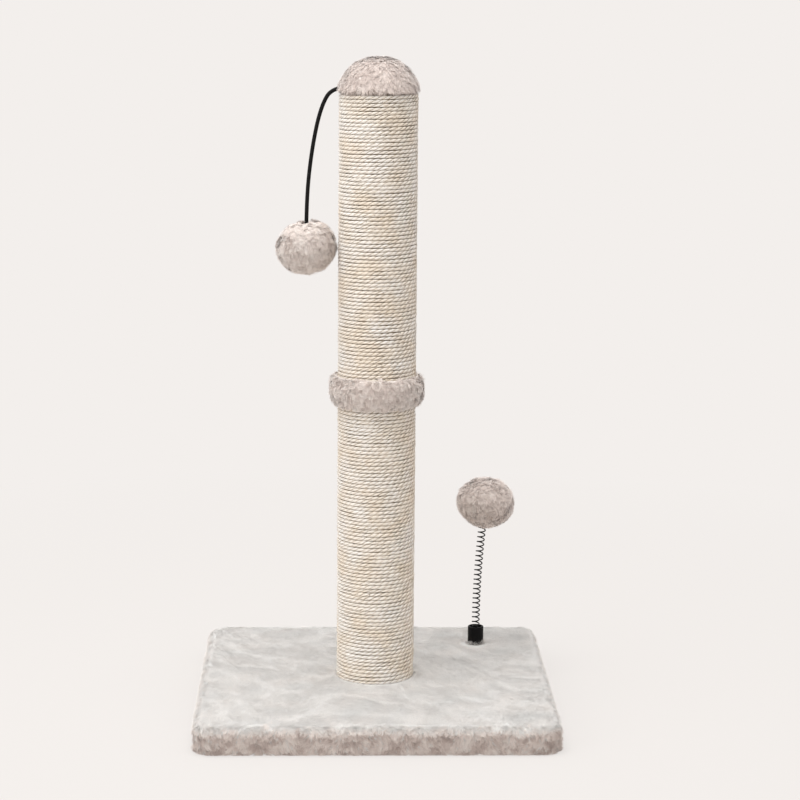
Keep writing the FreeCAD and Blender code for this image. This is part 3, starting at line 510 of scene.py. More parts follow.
def rootsRound(profile, count, rng):
    # evenly spread places over a surface turned about Z, from its profile of (radius, height) from top
    # to bottom, with their normals and the direction down the profile
    steps = np.diff(profile, axis=0)
    areas = np.linalg.norm(steps, axis=1) * (profile[:-1, 0] + profile[1:, 0]) / 2
    reach = np.concatenate([[0], np.cumsum(areas)]) / areas.sum()
    place = np.interp((np.arange(count) + rng.uniform(0, 1, count)) / count, reach, np.arange(len(profile)))
    spot = place.astype(int).clip(max=len(steps) - 1)
    at = profile[spot] + steps[spot] * (place - spot)[:, None]
    way = unit(steps[spot])
    angle = 2.399963 * np.arange(count) + rng.normal(0, 0.02, count)
    cos, sin = np.cos(angle), np.sin(angle)
    roots = np.stack([at[:, 0] * cos, at[:, 0] * sin, at[:, 1]], -1)
    normals = np.stack([-way[:, 1] * cos, -way[:, 1] * sin, way[:, 0]], -1)
    down = np.stack([way[:, 0] * cos, way[:, 0] * sin, way[:, 1]], -1)
    return roots, normals, down


def turnedRings(profile, count, lump, seed):
    # rings round Z through a profile of (radius, height), lumpy by up to lump
    angles = np.arange(count) * 2 * math.pi / count
    rings = np.stack([profile[:, :1] * np.cos(angles), profile[:, :1] * np.sin(angles),
                      np.repeat(profile[:, 1:], count, 1)], -1)
    flat = rings.reshape(-1, 3)
    swell = softNoise(flat, 7 * mm, seed)[:, None] * lump * mm * 0.6
    outward = unit(flat - flat.mean(0))
    return (flat + outward * swell).reshape(rings.shape)


def arcProfile(centreR, centreZ, radiusR, radiusZ, start, stop, count):
    angles = np.radians(np.linspace(start, stop, count))
    return np.stack([centreR + radiusR * np.sin(angles), centreZ + radiusZ * np.cos(angles)], -1) * mm


# ---- the base's cover: a thin ground pulled over the board and stapled beneath, and its pile
baseCover = {
    "boardHalf": 164.5, "boardCorner": 9.5, "boardTop": 18.0, "boardLow": 2.0,      # mm
    "ground": 1.5, "hem": 26.0,
    # the bed, which is the dense lower pile; the threads stand out of it by their rise
    "bedHalf": 173.7, "bedCorner": 18.7, "bedTop": 27.4, "edge": 8.0,
    "post": 39.2, "holder": (108.1, 107.0, 8.5),
    "topThreads": 128000, "sideThreads": 30000,
    # the sweeps of the comb, as (size in mm, seed, share), about a lean to the front
    "topSweep": ((75, 31, 0.5), (26, 32, 0.15)), "topLean": -1.35,
    "sideSweep": ((34, 61, 0.55), (12, 62, 0.3)),
    # how much lower the pile is beside the holder and how much painted shade darkens it there, and over how
    # many millimetres
    "pressed": (0.6, 4), "holderShade": (-0.24, 9),
    # tufts that lean up on the post and the holder: how many, and their length
    "postTufts": (2600, 2.6), "holderTufts": (520, 6.2),
    "ringPile": {"rise": 0.75, "uneven": 1.2, "perTuft": 7, "gather": 0.5, "bends": 3, "width": 0.34,
                 "stray": (0.8, 0.3), "soft": 2.0, "shade": 0.72, "tilt": 0.3},
    # the top's pile takes a lighter, greyer tone than the sides': painted light from above on the top and
    # painted shade on the sides
    "topPile": {"seed": 41, "bends": 2, "perTuft": 3, "stray": (0.08, 0.14), "length": 8.0, "rise": 0.08,
                "curl": 0.02, "gather": 0.08, "width": 0.46, "cloud": 44.0, "shade": 0.86, "mottle": 0.025,
                "speckle": (0.3, 0.5),
                "soft": 14.0, "depth": 0.2, "bow": 1.0, "uneven": 0.4, "tilt": 0.05},
    "sidePile": {"seed": 71, "bends": 3, "perTuft": 9, "stray": (0.40, 0.20), "length": 7.5, "rise": 0.22,
                 "curl": 0.14, "gather": 0.6, "width": 0.32, "cloud": 12.0, "shade": 0.27, "mottle": 0.15,
                 "soft": 0.6, "bow": 1.3, "lowest": 0.35, "tilt": 0.28},
}


def squareRing(half, corner, z, perSide=36, perCorner=8):
    # a square with rounded corners; equal counts let rings of any size join
    corner = max(corner, 0.01)
    straight = half - corner
    points = []
    for quarter in range(4):
        turn = quarter * math.pi / 2
        for i in range(perSide):
            points.append((half, -straight + 2 * straight * i / perSide, turn))
        for i in range(perCorner):
            a = i / perCorner * math.pi / 2
            points.append((straight + corner * math.cos(a), straight + corner * math.sin(a), turn))
    p = np.array(points)
    cos, sin = np.cos(p[:, 2]), np.sin(p[:, 2])
    return np.stack([p[:, 0] * cos - p[:, 1] * sin, p[:, 0] * sin + p[:, 1] * cos, np.full(len(p), z)],
                    -1) * mm


def coverProfile(half, corner, top, edge, low, flatRows):
    # from the centre of the top, round the edge and down the side, as (half width, corner, height)
    rows = [(h, corner * h / half, top) for h in np.linspace(0, half - edge, flatRows)[:-1]]
    for a in np.linspace(0, math.pi / 2, 7):
        inset = edge * (1 - math.sin(a))
        rows.append((half - inset, max(corner - inset, 0.5), top - edge * (1 - math.cos(a))))
    return rows + [(half, corner, z) for z in np.linspace(top - edge, low, 8)[1:]]


def coverSwell(points):
    # the loft of the pile, which a hand leaves uneven
    level = points * np.array((1, 1, 0))
    return softNoise(level, 42 * mm, 5) * 0.18 * mm + softNoise(level, 14 * mm, 6) * 0.03 * mm


def makeCover(cover):
    half, corner, low = cover["boardHalf"], cover["boardCorner"], cover["boardLow"]
    grown, hem = half + cover["ground"], half - cover["hem"]
    outer = coverProfile(grown, corner + cover["ground"], cover["boardTop"] + cover["ground"], 2.5, 1.6, 24)
    outer += [(half + 0.9, corner + 0.9, 0.8), (half + 0.2, corner + 0.2, 0.45), (hem + 1, 8, 0.45),
              (hem, 7, 1.2)]
    inner = [(hem + 1, 8, low - 0.05), (half - 1, corner - 1, low - 0.05)]
    inner += coverProfile(half + 0.05, corner, cover["boardTop"] + 0.05, 1.0, low + 0.5, 24)[::-1]
    ground = loftPiece("cover_ground", np.stack([squareRing(*row) for row in outer + inner]),
                       coverGroundFinish)

    # the bed of the pile, soft in outline, which closes round the post and the spring's holder
    rows = coverProfile(cover["bedHalf"], cover["bedCorner"], cover["bedTop"], cover["edge"], 1.2, 70)
    inside = coverProfile(grown + 0.1, corner + 1.5, cover["boardTop"] + cover["ground"] + 0.1, 2.5, 1.2,
                          70)[::-1]
    rings = np.stack([squareRing(*row, 72, 8) for row in rows + inside])
    flat = rings.reshape(-1, 3)
    visible = np.arange(len(flat)) < len(rows) * rings.shape[1]
    swell = coverSwell(flat)
    onTop = visible & (flat[:, 2] > (cover["bedTop"] - 0.1) * mm)
    flat[:, 2] += np.where(onTop, swell, 0)
    flat += unit(flat * np.array((1, 1, 0))) * np.where(visible & ~onTop, swell * 0.8, 0)[:, None]
    for x, y, radius in ((0, 0, cover["post"]), cover["holder"]):
        off = flat[:, :2] - np.array((x, y)) * mm
        gap = np.linalg.norm(off, axis=1) - radius * mm
        rim = onTop & (abs(gap) < 1.9 * mm)
        flat[rim, :2] = np.array((x, y)) * mm + unit(off[rim]) * (radius + 0.1) * mm
        flat[onTop & (gap <= -1.9 * mm), 2] = (cover["boardTop"] + cover["ground"] - 0.3) * mm
    bed = loftPiece("cover_pile_bed", flat.reshape(rings.shape), coverGroundFinish)

    pieces = [bed] + coverThreads(cover)
    for piece in [ground] + pieces:
        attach(piece, "root")
    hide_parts("base_plush")


def coverThreads(cover):
    # threads over the top, in the sweeps that a hand leaves, and combed down the four sides
    half, edge, post, holder = cover["bedHalf"], cover["edge"], cover["post"], cover["holder"]
    rng = np.random.default_rng(21)
    pitch = 2 * half / math.sqrt(cover["topThreads"])
    ticks = np.arange(-half + pitch / 2, half, pitch)
    x, y = (g.ravel() + rng.uniform(-0.5, 0.5, g.size) * pitch for g in np.meshgrid(ticks, ticks))
    core = half - cover["bedCorner"]
    inside = np.hypot(np.maximum(abs(x) - core, 0),
                      np.maximum(abs(y) - core, 0)) < cover["bedCorner"] - edge + 4.5
    fine = inside & (np.hypot(x, y) > post + 0.2) & (np.hypot(x - holder[0], y - holder[1]) > holder[2] + 0.2)
    roots = np.stack([x[fine], y[fine], np.full(fine.sum(), cover["bedTop"] - 0.15)], -1) * mm
    roots[:, 2] += coverSwell(roots)
    press = np.hypot(roots[:, 0] / mm - holder[0], roots[:, 1] / mm - holder[1]) - holder[2]
    (sink, sinkOver), (darker, holderShadeOver) = cover["pressed"], cover["holderShade"]
    roots[:, 2] -= sink * mm * np.exp(-press / sinkOver)
    # painted shade: the top pile's tone darkens towards the holder's foot
    holderShade = darker * np.exp(-press / holderShadeOver)
    normals = np.zeros_like(roots)
    normals[:, 2] = 1
    sweep = sweeps(roots, cover["topSweep"]) + cover["topLean"]
    combs = np.stack([np.cos(sweep), np.sin(sweep), 0 * sweep], -1)

    def inPost(lines):
        nearPost = np.hypot(lines[..., 0], lines[..., 1]) < post * mm
        nearHolder = np.hypot(lines[..., 0] - holder[0] * mm, lines[..., 1] - holder[1] * mm) < holder[2] * mm
        return (nearPost | nearHolder).any(1)

    def overEdge(lines):
        # threads follow the swell below them, and lie down round the edge where they run past the flat
        width = np.maximum(abs(lines[..., 0]), abs(lines[..., 1])) - (half - edge) * mm
        past = np.clip(width / (edge * mm), 0, 0.999)
        lines[..., 2] += coverSwell(lines) - coverSwell(lines[:, :1]) - edge * mm * (1
                - np.sqrt(1 - past ** 2)) * 0.94
        return lines

    pieces = []
    for name, part in (("front", roots[:, 1] < 0), ("back", roots[:, 1] >= 0)):
        pieces.append(growPile("cover_pile_top_" + name, roots[part], normals[part], combs[part],
                               cover["topPile"], inPost, holderShade[part], overEdge))

    # tufts that lean up on what stands in the pile
    for name, (x, y, radius) in (("post", (0, 0, post)), ("holder", holder)):
        count, tall = cover[name + "Tufts"]
        rng = np.random.default_rng(int(radius * 10))
        angle = rng.uniform(0, 2 * math.pi, count)
        away = np.stack([np.cos(angle), np.sin(angle), 0 * angle], -1)
        off = radius + 0.35 + rng.uniform(0, 1.4, count)[:, None]
        roots = np.array((x, y, cover["bedTop"] - 0.9)) * mm + away * off * mm
        upright = unit(np.array((0, 0, 1.0)) - away * 0.10)
        ringPile = {**cover["topPile"], **cover["ringPile"], "seed": int(radius * 10) + 1, "length": tall}
        combs = np.cross(away, np.array((0, 0, 1.0))) * rng.choice((-1, 1), count)[:, None]
        pieces.append(growPile("cover_pile_at_" + name, roots, upright, combs, ringPile, inPost))

    # each side in its own frame: s along it, fall down over the rounded edge, then turned into place
    for number, name in enumerate(("right", "back", "left", "front")):
        rng = np.random.default_rng(50 + number)
        s = rng.uniform(-1, 1, cover["sideThreads"]) * (half - 4.5)
        fall = rng.uniform(0, 1, cover["sideThreads"]) * (edge * math.pi / 2 + cover["bedTop"] - edge - 1.6)
        bend = np.clip(fall / edge, 0, math.pi / 2)
        z = cover["bedTop"] - 0.5 - edge * (1 - np.cos(bend)) - np.maximum(fall - edge * math.pi / 2, 0)
        out = -edge * (1 - np.sin(bend)) - 0.5
        straight = half - cover["bedCorner"]
        arc = np.clip(abs(s) - straight, 0, None) / (half - 4.5 - straight) * math.pi / 4
        reach = cover["bedCorner"] + out
        x = straight + reach * np.cos(arc)
        y = np.sign(s) * (np.minimum(abs(s), straight) + reach * np.sin(arc))
        spin = np.array(Matrix.Rotation(number * math.pi / 2, 3, "Z"))
        roots = np.stack([x, y, z], -1) @ spin.T * mm
        normals = np.stack([np.cos(arc) * np.sin(bend), np.sign(s) * np.sin(arc) * np.sin(bend),
                            np.cos(bend)], -1)
        normals = unit(normals @ spin.T)
        sweep = sweeps(roots, cover["sideSweep"])
        combs = unit(roots * np.array((1, 1, 0))) * 0.4 - np.array((0, 0, 1.0))
        combs = turned(unit(combs - normals * (combs * normals).sum(1)[:, None]), normals, sweep)
        pile, upward = dict(cover["sidePile"], seed=cover["sidePile"]["seed"] + number), normals[:, 2]
        pile.update(rise=pile["rise"] * (1 - 0.62 * upward), gather=pile["gather"] * (1 - 0.85 * upward),
                    mottle=pile["mottle"] * (1 - 0.6 * upward), soft=pile["soft"] + 9 * upward ** 2)
        # painted light: the side threads take the top's lighter tone where the rounded edge faces up, and keep
        # their darker tone down the sides
        paintedLight = (cover["topPile"]["shade"] - pile["shade"]) * np.clip(1.5 * upward - 0.45, 0, 1)
        pieces.append(growPile("cover_pile_" + name, roots, normals, combs, pile, paintedLight=paintedLight))
    return pieces


makeCover(baseCover)
print("base cover")


# ---- the underside's dust cloth, a pressed non-woven sheet stapled over the hem
dustCloth = {"corner": 6.0, "hole": 14.0,
             "holeCorner": 13.0}      # mm; the hole lets a key reach the post's bolt


def clothFinish():
    # non-woven polypropylene: pressed dots in rows and a haze of fibres
    material, tree, shader = newFinish("nonWovenDustCloth", {
        "Roughness": 0.85, "Specular IOR Level": 0.2, "Sheen Weight": 0.2})
    space = addNode(tree, "TexCoord").outputs["Object"]
    dots = addNode(tree, "TexVoronoi", {"Scale": 1 / (1.7 * mm), "Randomness": 0.0}, {"Vector": space})
    fibres = noise(tree, 0.8, space, {"Detail": 4.0, "Distortion": 1.5})
    pressed = addNode(tree, "MapRange", {"From Min": 0.18, "From Max": 0.34},
                      {"Value": dots.outputs["Distance"]})
    haze = maths(tree, "MULTIPLY_ADD", fibres, 0.45, pressed.outputs[0])
    paint(tree, shader, ramp(tree, [(0.1, "#161616"), (0.9, "#34322f")], haze), haze, 0.7, 0.15)
    return material


def makeCloth(cloth, low, high):
    half = min(high[0], -low[0]) / mm
    z, thick = low[2] / mm + 0.1, max((high[2] - low[2]) / mm - 0.25, 0.3)
    sizes = np.linspace(cloth["hole"], half, 60)
    corners = np.linspace(cloth["holeCorner"], cloth["corner"], 60)
    rows = [(h, corner, z) for h, corner in zip(sizes, corners)]
    rows += [(h, corner, z + thick) for h, corner in zip(sizes[::-1], corners[::-1])]
    rings = np.stack([squareRing(*row) for row in rows])
    flat = rings.reshape(-1, 3)
    lower = np.arange(len(flat)) < len(flat) // 2
    flat[:, 2] += np.where(lower, softNoise(flat * np.array((1, 0.5, 0)), 26 * mm, 8) * 0.035 * mm, 0)
    piece = loftPiece("dust_cloth", flat.reshape(rings.shape), clothFinish(), loop=True)
    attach(piece, "root")
    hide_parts("underside_cloth")


makeCloth(dustCloth, *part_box("underside_cloth"))
print("dust cloth")


# ---- the rope, wound turn against turn round each tube
sisalRope = {
    "thick": 3.7, "centre": 36.95, "strands": 3, "groove": 0.34, "lay": 18.09, "drift": 0.22,
    "steps": 160, "sides": (-90, -58, -30, 0, 30, 58, 90, 180), "lumpy": 0.055, "uneven": 0.16,
    "fibres": 2600, "fibreLength": (2.5, 8.0), "fibreWidth": 0.16,
}
ropeRuns = (
    # name, node, lowest and highest level (mm), turns, seed
    ("lower_rope_winding", "lower_rope", 19.6, 317.0, 78, 201),
    ("upper_rope_winding", "upper_rope", 317.2, 611.4, 77, 202),
)


ropeTones = {
    "grain": [(0.30, "#d9ccbc"), (0.42, "#eee6dc"), (0.55, "#faf6f1"), (0.75, "#fffefd")],
    # painted shade in the grooves of the strands, darkest at their bottoms
    "grooveShade": [(0.0, "#3f3328"), (0.15, "#96846f"), (0.36, "#efe7dc"), (0.6, "#ffffff")],
    "warm": [(0.35, "#faf3e9"), (0.65, "#ffffff")],
    "flecks": [(0.735, "#ffffff"), (0.775, "#7c6a55")],
}


def sisalFinish():
    # sisal: cream leaf fibres spun in strands, streaked along them, with painted shade, dark tan, in the
    # grooves of the strands, and dark flecks
    material, tree, shader = newFinish("spunSisal",
                                       {"Roughness": 0.78, "Specular IOR Level": 0.3, "Sheen Weight": 0.15})
    run = addNode(tree, "UVMap", {"uv_map": "alongRope"})
    streaks = addNode(tree, "Mapping", {"Scale": (0.11, 1.9, 1.0)}, {"Vector": run.outputs[0]})
    fibres = addNode(tree, "TexNoise",
                     {"noise_dimensions": "2D", "Scale": 1.6, "Detail": 5.0, "Roughness": 0.7},
                     {"Vector": streaks.outputs[0]})
    parts = addNode(tree, "SeparateXYZ", None, {0: run.outputs[0]})
    space = addNode(tree, "TexCoord").outputs["Object"]
    uneven = noise(tree, 11, space, {"Detail": 2.0})
    # each strand is half a wave round the rope: slip shifts it, and its valleys are the grooves
    slip = maths(tree, "MULTIPLY_ADD", uneven, 1.4, parts.outputs[1])
    wave = maths(tree, "COSINE", maths(tree, "MULTIPLY", slip, 1.5))
    strand = maths(tree, "ABSOLUTE", wave)
    groove = maths(tree, "ADD", strand, maths(tree, "MULTIPLY_ADD", uneven, 0.55, -0.17))
    clouds = noise(tree, 30, space, {"Detail": 2.0})
    flecks = noise(tree, 2.6, space, {"Detail": 1.0})
    # the groove ramp lays painted shade in the rope's grooves
    tones = [ramp(tree, ropeTones[name], source) for name, source in (
        ("grain", fibres.outputs["Fac"]), ("grooveShade", groove), ("warm", clouds),
        ("flecks", flecks))]
    tone = times(tree, times(tree, times(tree, tones[0], tones[1]), tones[2]), tones[3])
    height = maths(tree, "MULTIPLY_ADD", fibres.outputs["Fac"], 0.25, maths(tree, "POWER", strand, 0.6))
    paint(tree, shader, tone, height, 0.8, 0.6)
    return material


def makeRope(rope, name, node, low, high, turns, seed):
    rng = np.random.default_rng(seed)
    count = turns * rope["steps"] + 1
    turn = np.linspace(0, turns, count)
    angle = turn * 2 * math.pi
    pitch = (high - low - rope["thick"]) / turns
    height = low + rope["thick"] / 2 + pitch * turn
    along = angle * rope["centre"]

    def wander(size, seedOffset):
        return softNoise(along[:, None] * np.array((1, 0, 0)), size, seed + seedOffset, 40)

    middle = np.clip(np.minimum(turn, turns - turn) / 0.5, 0, 1)
    height = height + wander(70, 1) * rope["uneven"] * 0.35 * middle
    centre = rope["centre"] + wander(55, 2) * rope["uneven"] * 0.5
    radius = rope["thick"] / 2 * (1 + wander(16, 3) * rope["lumpy"])
    twist = along * 2 * math.pi / rope["lay"] + wander(900, 4) * rope["drift"] * 4
    sides = np.radians(rope["sides"])
    strand = (rope["strands"] / 2) * (sides[None] - twist[:, None])
    lobe = np.abs(np.cos(strand)) ** 0.65
    reach = radius[:, None] * (1.03 - rope["groove"] * (1 - lobe))
    reach[:, -1] = rope["thick"] / 2 * 0.85
    outward = reach * np.sign(np.cos(sides)) * np.abs(np.cos(sides)) ** 0.5
    upward = reach * np.sin(sides)
    r = (centre[:, None] + outward) * mm
    rings = np.stack([r * np.cos(angle)[:, None], r * np.sin(angle)[:, None],
                      (height[:, None] + upward) * mm], -1)

    section = len(sides)
    rows, spots = np.arange(count - 1)[:, None], np.arange(section)[None]
    nextSpot = (spots + 1) % section
    quads = np.stack([rows * section + spots, (rows + 1) * section + spots,
                      (rows + 1) * section + nextSpot, rows * section + nextSpot], -1).reshape(-1, 4)
    ends = [np.arange(section)[None], (np.arange(section)[::-1] + (count - 1) * section)[None]]
    # the unwrapped cylinder for the bake: visible faces by angle and height, the hidden back in a strip
    corner = quads % section
    front = np.isin(corner, np.arange(section - 1)).all(1)
    level = (rings[..., 2].ravel()[quads] / mm - low) / (high - low)
    start = np.repeat(turn[:-1], section) % 1
    u = start[:, None] + np.array([0, 1, 1, 0])[None] / rope["steps"]
    v = np.where(front[:, None], 0.03 + 0.95 * level, 0.005 + 0.02 * level)
    bakeUv = np.concatenate([np.stack([u, v], -1).reshape(-1, 2), np.tile([0.001, 0.001], (2 * section, 1))])
    ropeAngle = (sides[None] - twist[:, None]).ravel()
    ropeUv = np.stack([np.repeat(along, section), ropeAngle], -1)[quads.ravel()]
    ropeUv = np.concatenate([ropeUv, np.zeros((2 * section, 2))])
    piece = newPiece(name, rings.reshape(-1, 3), [quads] + ends, sisal, bakeUv)
    piece.data.uv_layers.new(name="alongRope").data.foreach_set("uv", ropeUv.astype(np.float32).ravel())
    piece.data.uv_layers.active_index = 0
    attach(piece, "root")
    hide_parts(node)

    makeFibres(rope, name.replace("winding", "fibres"), rng, angle, centre, radius, height)


def makeFibres(rope, name, rng, angle, centre, radius, height):
    # loose fibres that stand off the strands
    number, count = rope["fibres"], len(angle)
    at = rng.integers(rope["steps"] // 4, count - rope["steps"] // 4, number)
    around = angle[at] + rng.uniform(0, 0.04, number)
    lift = rng.uniform(-60, 60, number) * math.pi / 180
    outwards = np.stack([np.cos(around), np.sin(around), 0 * around], -1)
    forward = np.stack([-np.sin(around), np.cos(around), 0 * around], -1)
    normals = outwards * np.cos(lift)[:, None] + np.array((0, 0, 1.0)) * np.sin(lift)[:, None]
    roots = outwards * (centre[at] * mm)[:, None] + normals * (radius[at] * 0.9 * mm)[:, None]
    roots[:, 2] += height[at] * mm
    ways = unit(forward * rng.choice((-1, 1), number)[:, None]
                + np.array((0, 0, 1.0)) * rng.normal(0.3, 0.5, number)[:, None])
    long = rng.uniform(*rope["fibreLength"], number)[:, None] * mm
    t = np.array([0, 0.35, 0.7, 1.0])[None, :, None]
    arch = normals[:, None] * (0.5 * t - 0.42 * t ** 2) * rng.uniform(0.2, 1.3, (number, 1, 1))
    lines = roots[:, None] + long[:, None] * (ways[:, None] * t + arch)
    across = unit(np.cross(ways, normals))[:, None] * rope["fibreWidth"] / 2 * mm
    wide = across * (1 - 0.6 * t)
    points = np.stack([lines - wide, lines + wide], 2).reshape(-1, 3)
    faces = bladeFaces(number, 8, 3)[1]
    shade = np.repeat(rng.uniform(0, 1, number), 8)
    fuzzUv = np.stack([shade, np.tile([0, 0.02, 0.33, 0.35, 0.66, 0.68, 0.98, 1.0], number)],
                      -1)[faces.ravel()]
    fuzz = newPiece(name, points, [faces], looseFibre, fuzzUv)
    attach(fuzz, "root")


def looseFibreFinish():
    # single sisal fibres: pale straw, a little glossy, each its own shade
    material, tree, shader = newFinish("looseSisalFibre", {"Roughness": 0.6, "Specular IOR Level": 0.35})
    place = addNode(tree, "UVMap", {"uv_map": "OFBake"})
    parts = addNode(tree, "SeparateXYZ", None, {0: place.outputs[0]})
    paint(tree, shader, ramp(tree, [(0.0, "#cdb996"), (0.5, "#efe5d2"), (1.0, "#faf5ea")], parts.outputs[0]))
    return material


sisal = sisalFinish()
looseFibre = looseFibreFinish()
for run in ropeRuns:
    makeRope(sisalRope, *run)
print("rope windings")


# ---- the dome at the top: plush over foam, combed down to a ragged hem
plushDome = {
    "node": "dome_plush", "centre": 605.5, "inner": 36.9, "bed": 40.9, "hem": 617.8, "tuck": 5.0,
    "threads": 32000,
    "swirl": ((20, 305, 0.42), (8, 306, 0.3)),
    "pile": {"seed": 301, "bends": 3, "perTuft": 12, "stray": (0.14, 0.12), "length": 8.0, "rise": 0.13,
    "curl": 0.06,
             "gather": 0.5, "width": 0.34, "cloud": 16.0, "shade": 0.285, "mottle": 0.05, "soft": 1.5,
             "depth": 0.8, "bow": 1.15, "tilt": 0.12},
}
plushCollar = {
    "node": "collar_plush", "inner": 39.2, "bed": 45.6, "low": 305.2, "high": 333.2, "edge": (6.0, 9.5),
    "threads": 30000,
    "swirl": ((17, 315, 0.8), (7, 316, 0.5)),
    "pile": {"seed": 311, "bends": 3, "perTuft": 14, "stray": (0.34, 0.2), "length": 7.5, "rise": 0.19,
    "curl": 0.14,
             "gather": 0.62, "width": 0.34, "cloud": 11.0, "shade": 0.44, "mottle": 0.11, "soft": 0.8,
             "bow": 1.25,
             "tilt": 0.2},
}
plushBall = {
    "wide": 30.7, "tall": 27.5, "bed": 2.5, "threads": 26000,
    "swirl": ((19, 2, 1.0), (8, 3, 0.5)),      # with the ball's own seed added to each
    "pile": {"seed": 321, "bends": 3, "perTuft": 14, "stray": (0.36, 0.22), "length": 8.2, "rise": 0.22,
    "curl": 0.14,
             "gather": 0.6, "width": 0.34, "cloud": 12.0, "shade": 0.42, "mottle": 0.09, "soft": 1.1,
             "bow": 1.15,
             "tilt": 0.12},
}


def nearCord(lines, room=2.7 * mm):
    # threads that would cross the cord, with the spline's own points
    tree = KDTree(len(cordLine))
    for i, point in enumerate(cordLine):
        tree.insert(point, i)
    tree.balance()
    low, high = cordLine.min(0) - room, cordLine.max(0) + room
    inside = ((lines >= low) & (lines <= high)).all(2).any(1)
    result = np.zeros(len(lines), bool)
    for i in np.flatnonzero(inside):
        result[i] = min(tree.find(p)[2] for p in lines[i]) < room
    return result


def dress(node, body, ground, threads):
    for piece in [ground] + threads:
        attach(piece, body)
    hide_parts(node)


def makeDome(dome):
    centreZ, hem = dome["centre"], dome["hem"]
    low = math.degrees(math.acos((hem - centreZ) / dome["bed"]))
    outer = arcProfile(0, centreZ, dome["bed"], dome["bed"], 0, low, 40)
    # the hem tucks in under the widest line, on to the rope
    end, tuck = outer[-1], dome["tuck"] * mm
    fold = np.array([(end[0] - tuck * 0.5 * s ** 2, end[1] - tuck * s) for s in np.linspace(0, 1, 6)[1:]])
    outer = np.concatenate([outer, fold])
    start = math.degrees(math.acos((hem - centreZ) / dome["inner"]))
    inner = arcProfile(0, centreZ, dome["inner"], dome["inner"], start, 0, 30)
    rings = np.concatenate([turnedRings(outer, 120, 0.5, 302), turnedRings(inner, 120, 0.0, 303)])
    ground = loftPiece("dome_pile_bed", rings, groundFinish)
    rng = np.random.default_rng(304)
    roots, normals, down = rootsRound(outer[1:-1] - np.array((0.5, 0)) * mm, dome["threads"], rng)
    combs = turned(down, normals, sweeps(roots, dome["swirl"]))
    threads = growPile("dome_pile", roots, normals, combs, dome["pile"], nearCord)
    dress(dome["node"], "root", ground, [threads])


def makeCollar(collar):
    (wide, deep), low, high, bed, inner = (collar[k] for k in ("edge", "low", "high", "bed", "inner"))
    crown = [(bed + 0.5 * math.sin(math.pi * s), high - deep - s * (high - low - 2 * deep))
             for s in np.linspace(0, 1, 8)]
    upper = arcProfile(bed - wide, high - deep, wide, deep, 0, 90, 12)
    lower = arcProfile(bed - wide, low + deep, wide, deep, 90, 180, 12)
    outer = np.concatenate([upper, np.array(crown[1:-1]) * mm, lower])
    inside = np.array([(inner, low + 0.5), (inner, (low + high) / 2), (inner, high - 0.5)]) * mm
    rings = np.concatenate([turnedRings(outer, 120, 0.5, 312), turnedRings(inside, 120, 0.0, 313)])
    ground = loftPiece("collar_pile_bed", rings, groundFinish, loop=True)
    rng = np.random.default_rng(314)
    profile = np.concatenate([np.array([[inner + 0.4, high]]) * mm, outer,
                              np.array([[inner + 0.4, low]]) * mm])
    roots, normals, down = rootsRound(profile, collar["threads"], rng)
    combs = turned(down, normals, sweeps(roots, collar["swirl"]))
    threads = growPile("collar_pile", roots - normals * 0.5 * mm, normals, combs, collar["pile"])
    dress(collar["node"], "root", ground, [threads])


def makeBall(ball, node, name, body, lean, shade, dip, lop, seed, keepClear):
    # the ball is upright at its own centre, then leant and set in its place
    low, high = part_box(node)
    middle = (low + high) / 2
    spin = np.array(Matrix.Rotation(math.radians(lean), 3, "Y"))
    wide, tall = ball["wide"] - ball["bed"], ball["tall"] - ball["bed"]
    profile = arcProfile(0, 0, wide, tall, 0, 180, 48)

    def placed(points):
        points = points @ spin.T
        off = np.hypot(points[..., 0], points[..., 1])
        upper = np.clip(points[..., 2] / (tall * mm), 0, 1)
        points[..., 2] += upper * (lop * points[..., 0] - dip * mm * np.exp(-(off / (9 * mm)) ** 2))
        return points + middle

    rings = placed(turnedRings(profile, 96, 0.7, seed))
    ground = loftPiece(name + "_pile_bed", rings, groundFinish)
    rng = np.random.default_rng(seed + 1)
    roots, normals, down = rootsRound(arcProfile(0, 0, wide - 0.6, tall - 0.6, 1, 179, 90), ball["threads"],
                                      rng)
    swirl = [(size, seed + more, share) for size, more, share in ball["swirl"]]
    combs = turned(down, normals, sweeps(roots, swirl))
    pile = dict(ball["pile"], seed=seed + 4, shade=shade)
    threads = growPile(name + "_pile", placed(roots), normals @ spin.T, combs @ spin.T, pile, keepClear)
    dress(node, body, ground, [threads])


def nearSpring(lines):
    # threads that would enter the coil where it goes into the ball
    axis = np.stack([coilLine(s)[0] for s in np.linspace(96, 140, 40)])
    gap = np.linalg.norm(lines[:, :, None] - axis[None, None], axis=-1).min(2)
    return (gap < 4.9 * mm).any(1)


# ---- the coil spring, which leans a little under its ball
coilSpring = {
    "mouth": (108.1, 107.0, 46.0), "lean": 1030.0, "outer": 8.5, "wire": 1.3, "low": -14.0 + 0.65 + 0.3,
    "high": 129.35,
    "turns": 28, "steps": 36, "sides": 10,
    # the coil is cut where its two halves ride alike; each half bends between two bodies
    "cut": 51.0,
    "halves": (("lower_coil", "root", "toy_spring", 2.0, 47.0),
    ("upper_coil", "toy_spring", "spring_ball", 55.0, 101.0)),
}


def coilLine(distance, coil=coilSpring):
    mouth = np.array(coil["mouth"])
    turn = max(distance, 0) / coil["lean"]
    way = np.array((math.sin(turn), 0, math.cos(turn)))
    middle = mouth + np.array((coil["lean"] * (1 - math.cos(turn)), 0,
                               coil["lean"] * math.sin(turn) + min(distance, 0)))
    return middle * mm, way


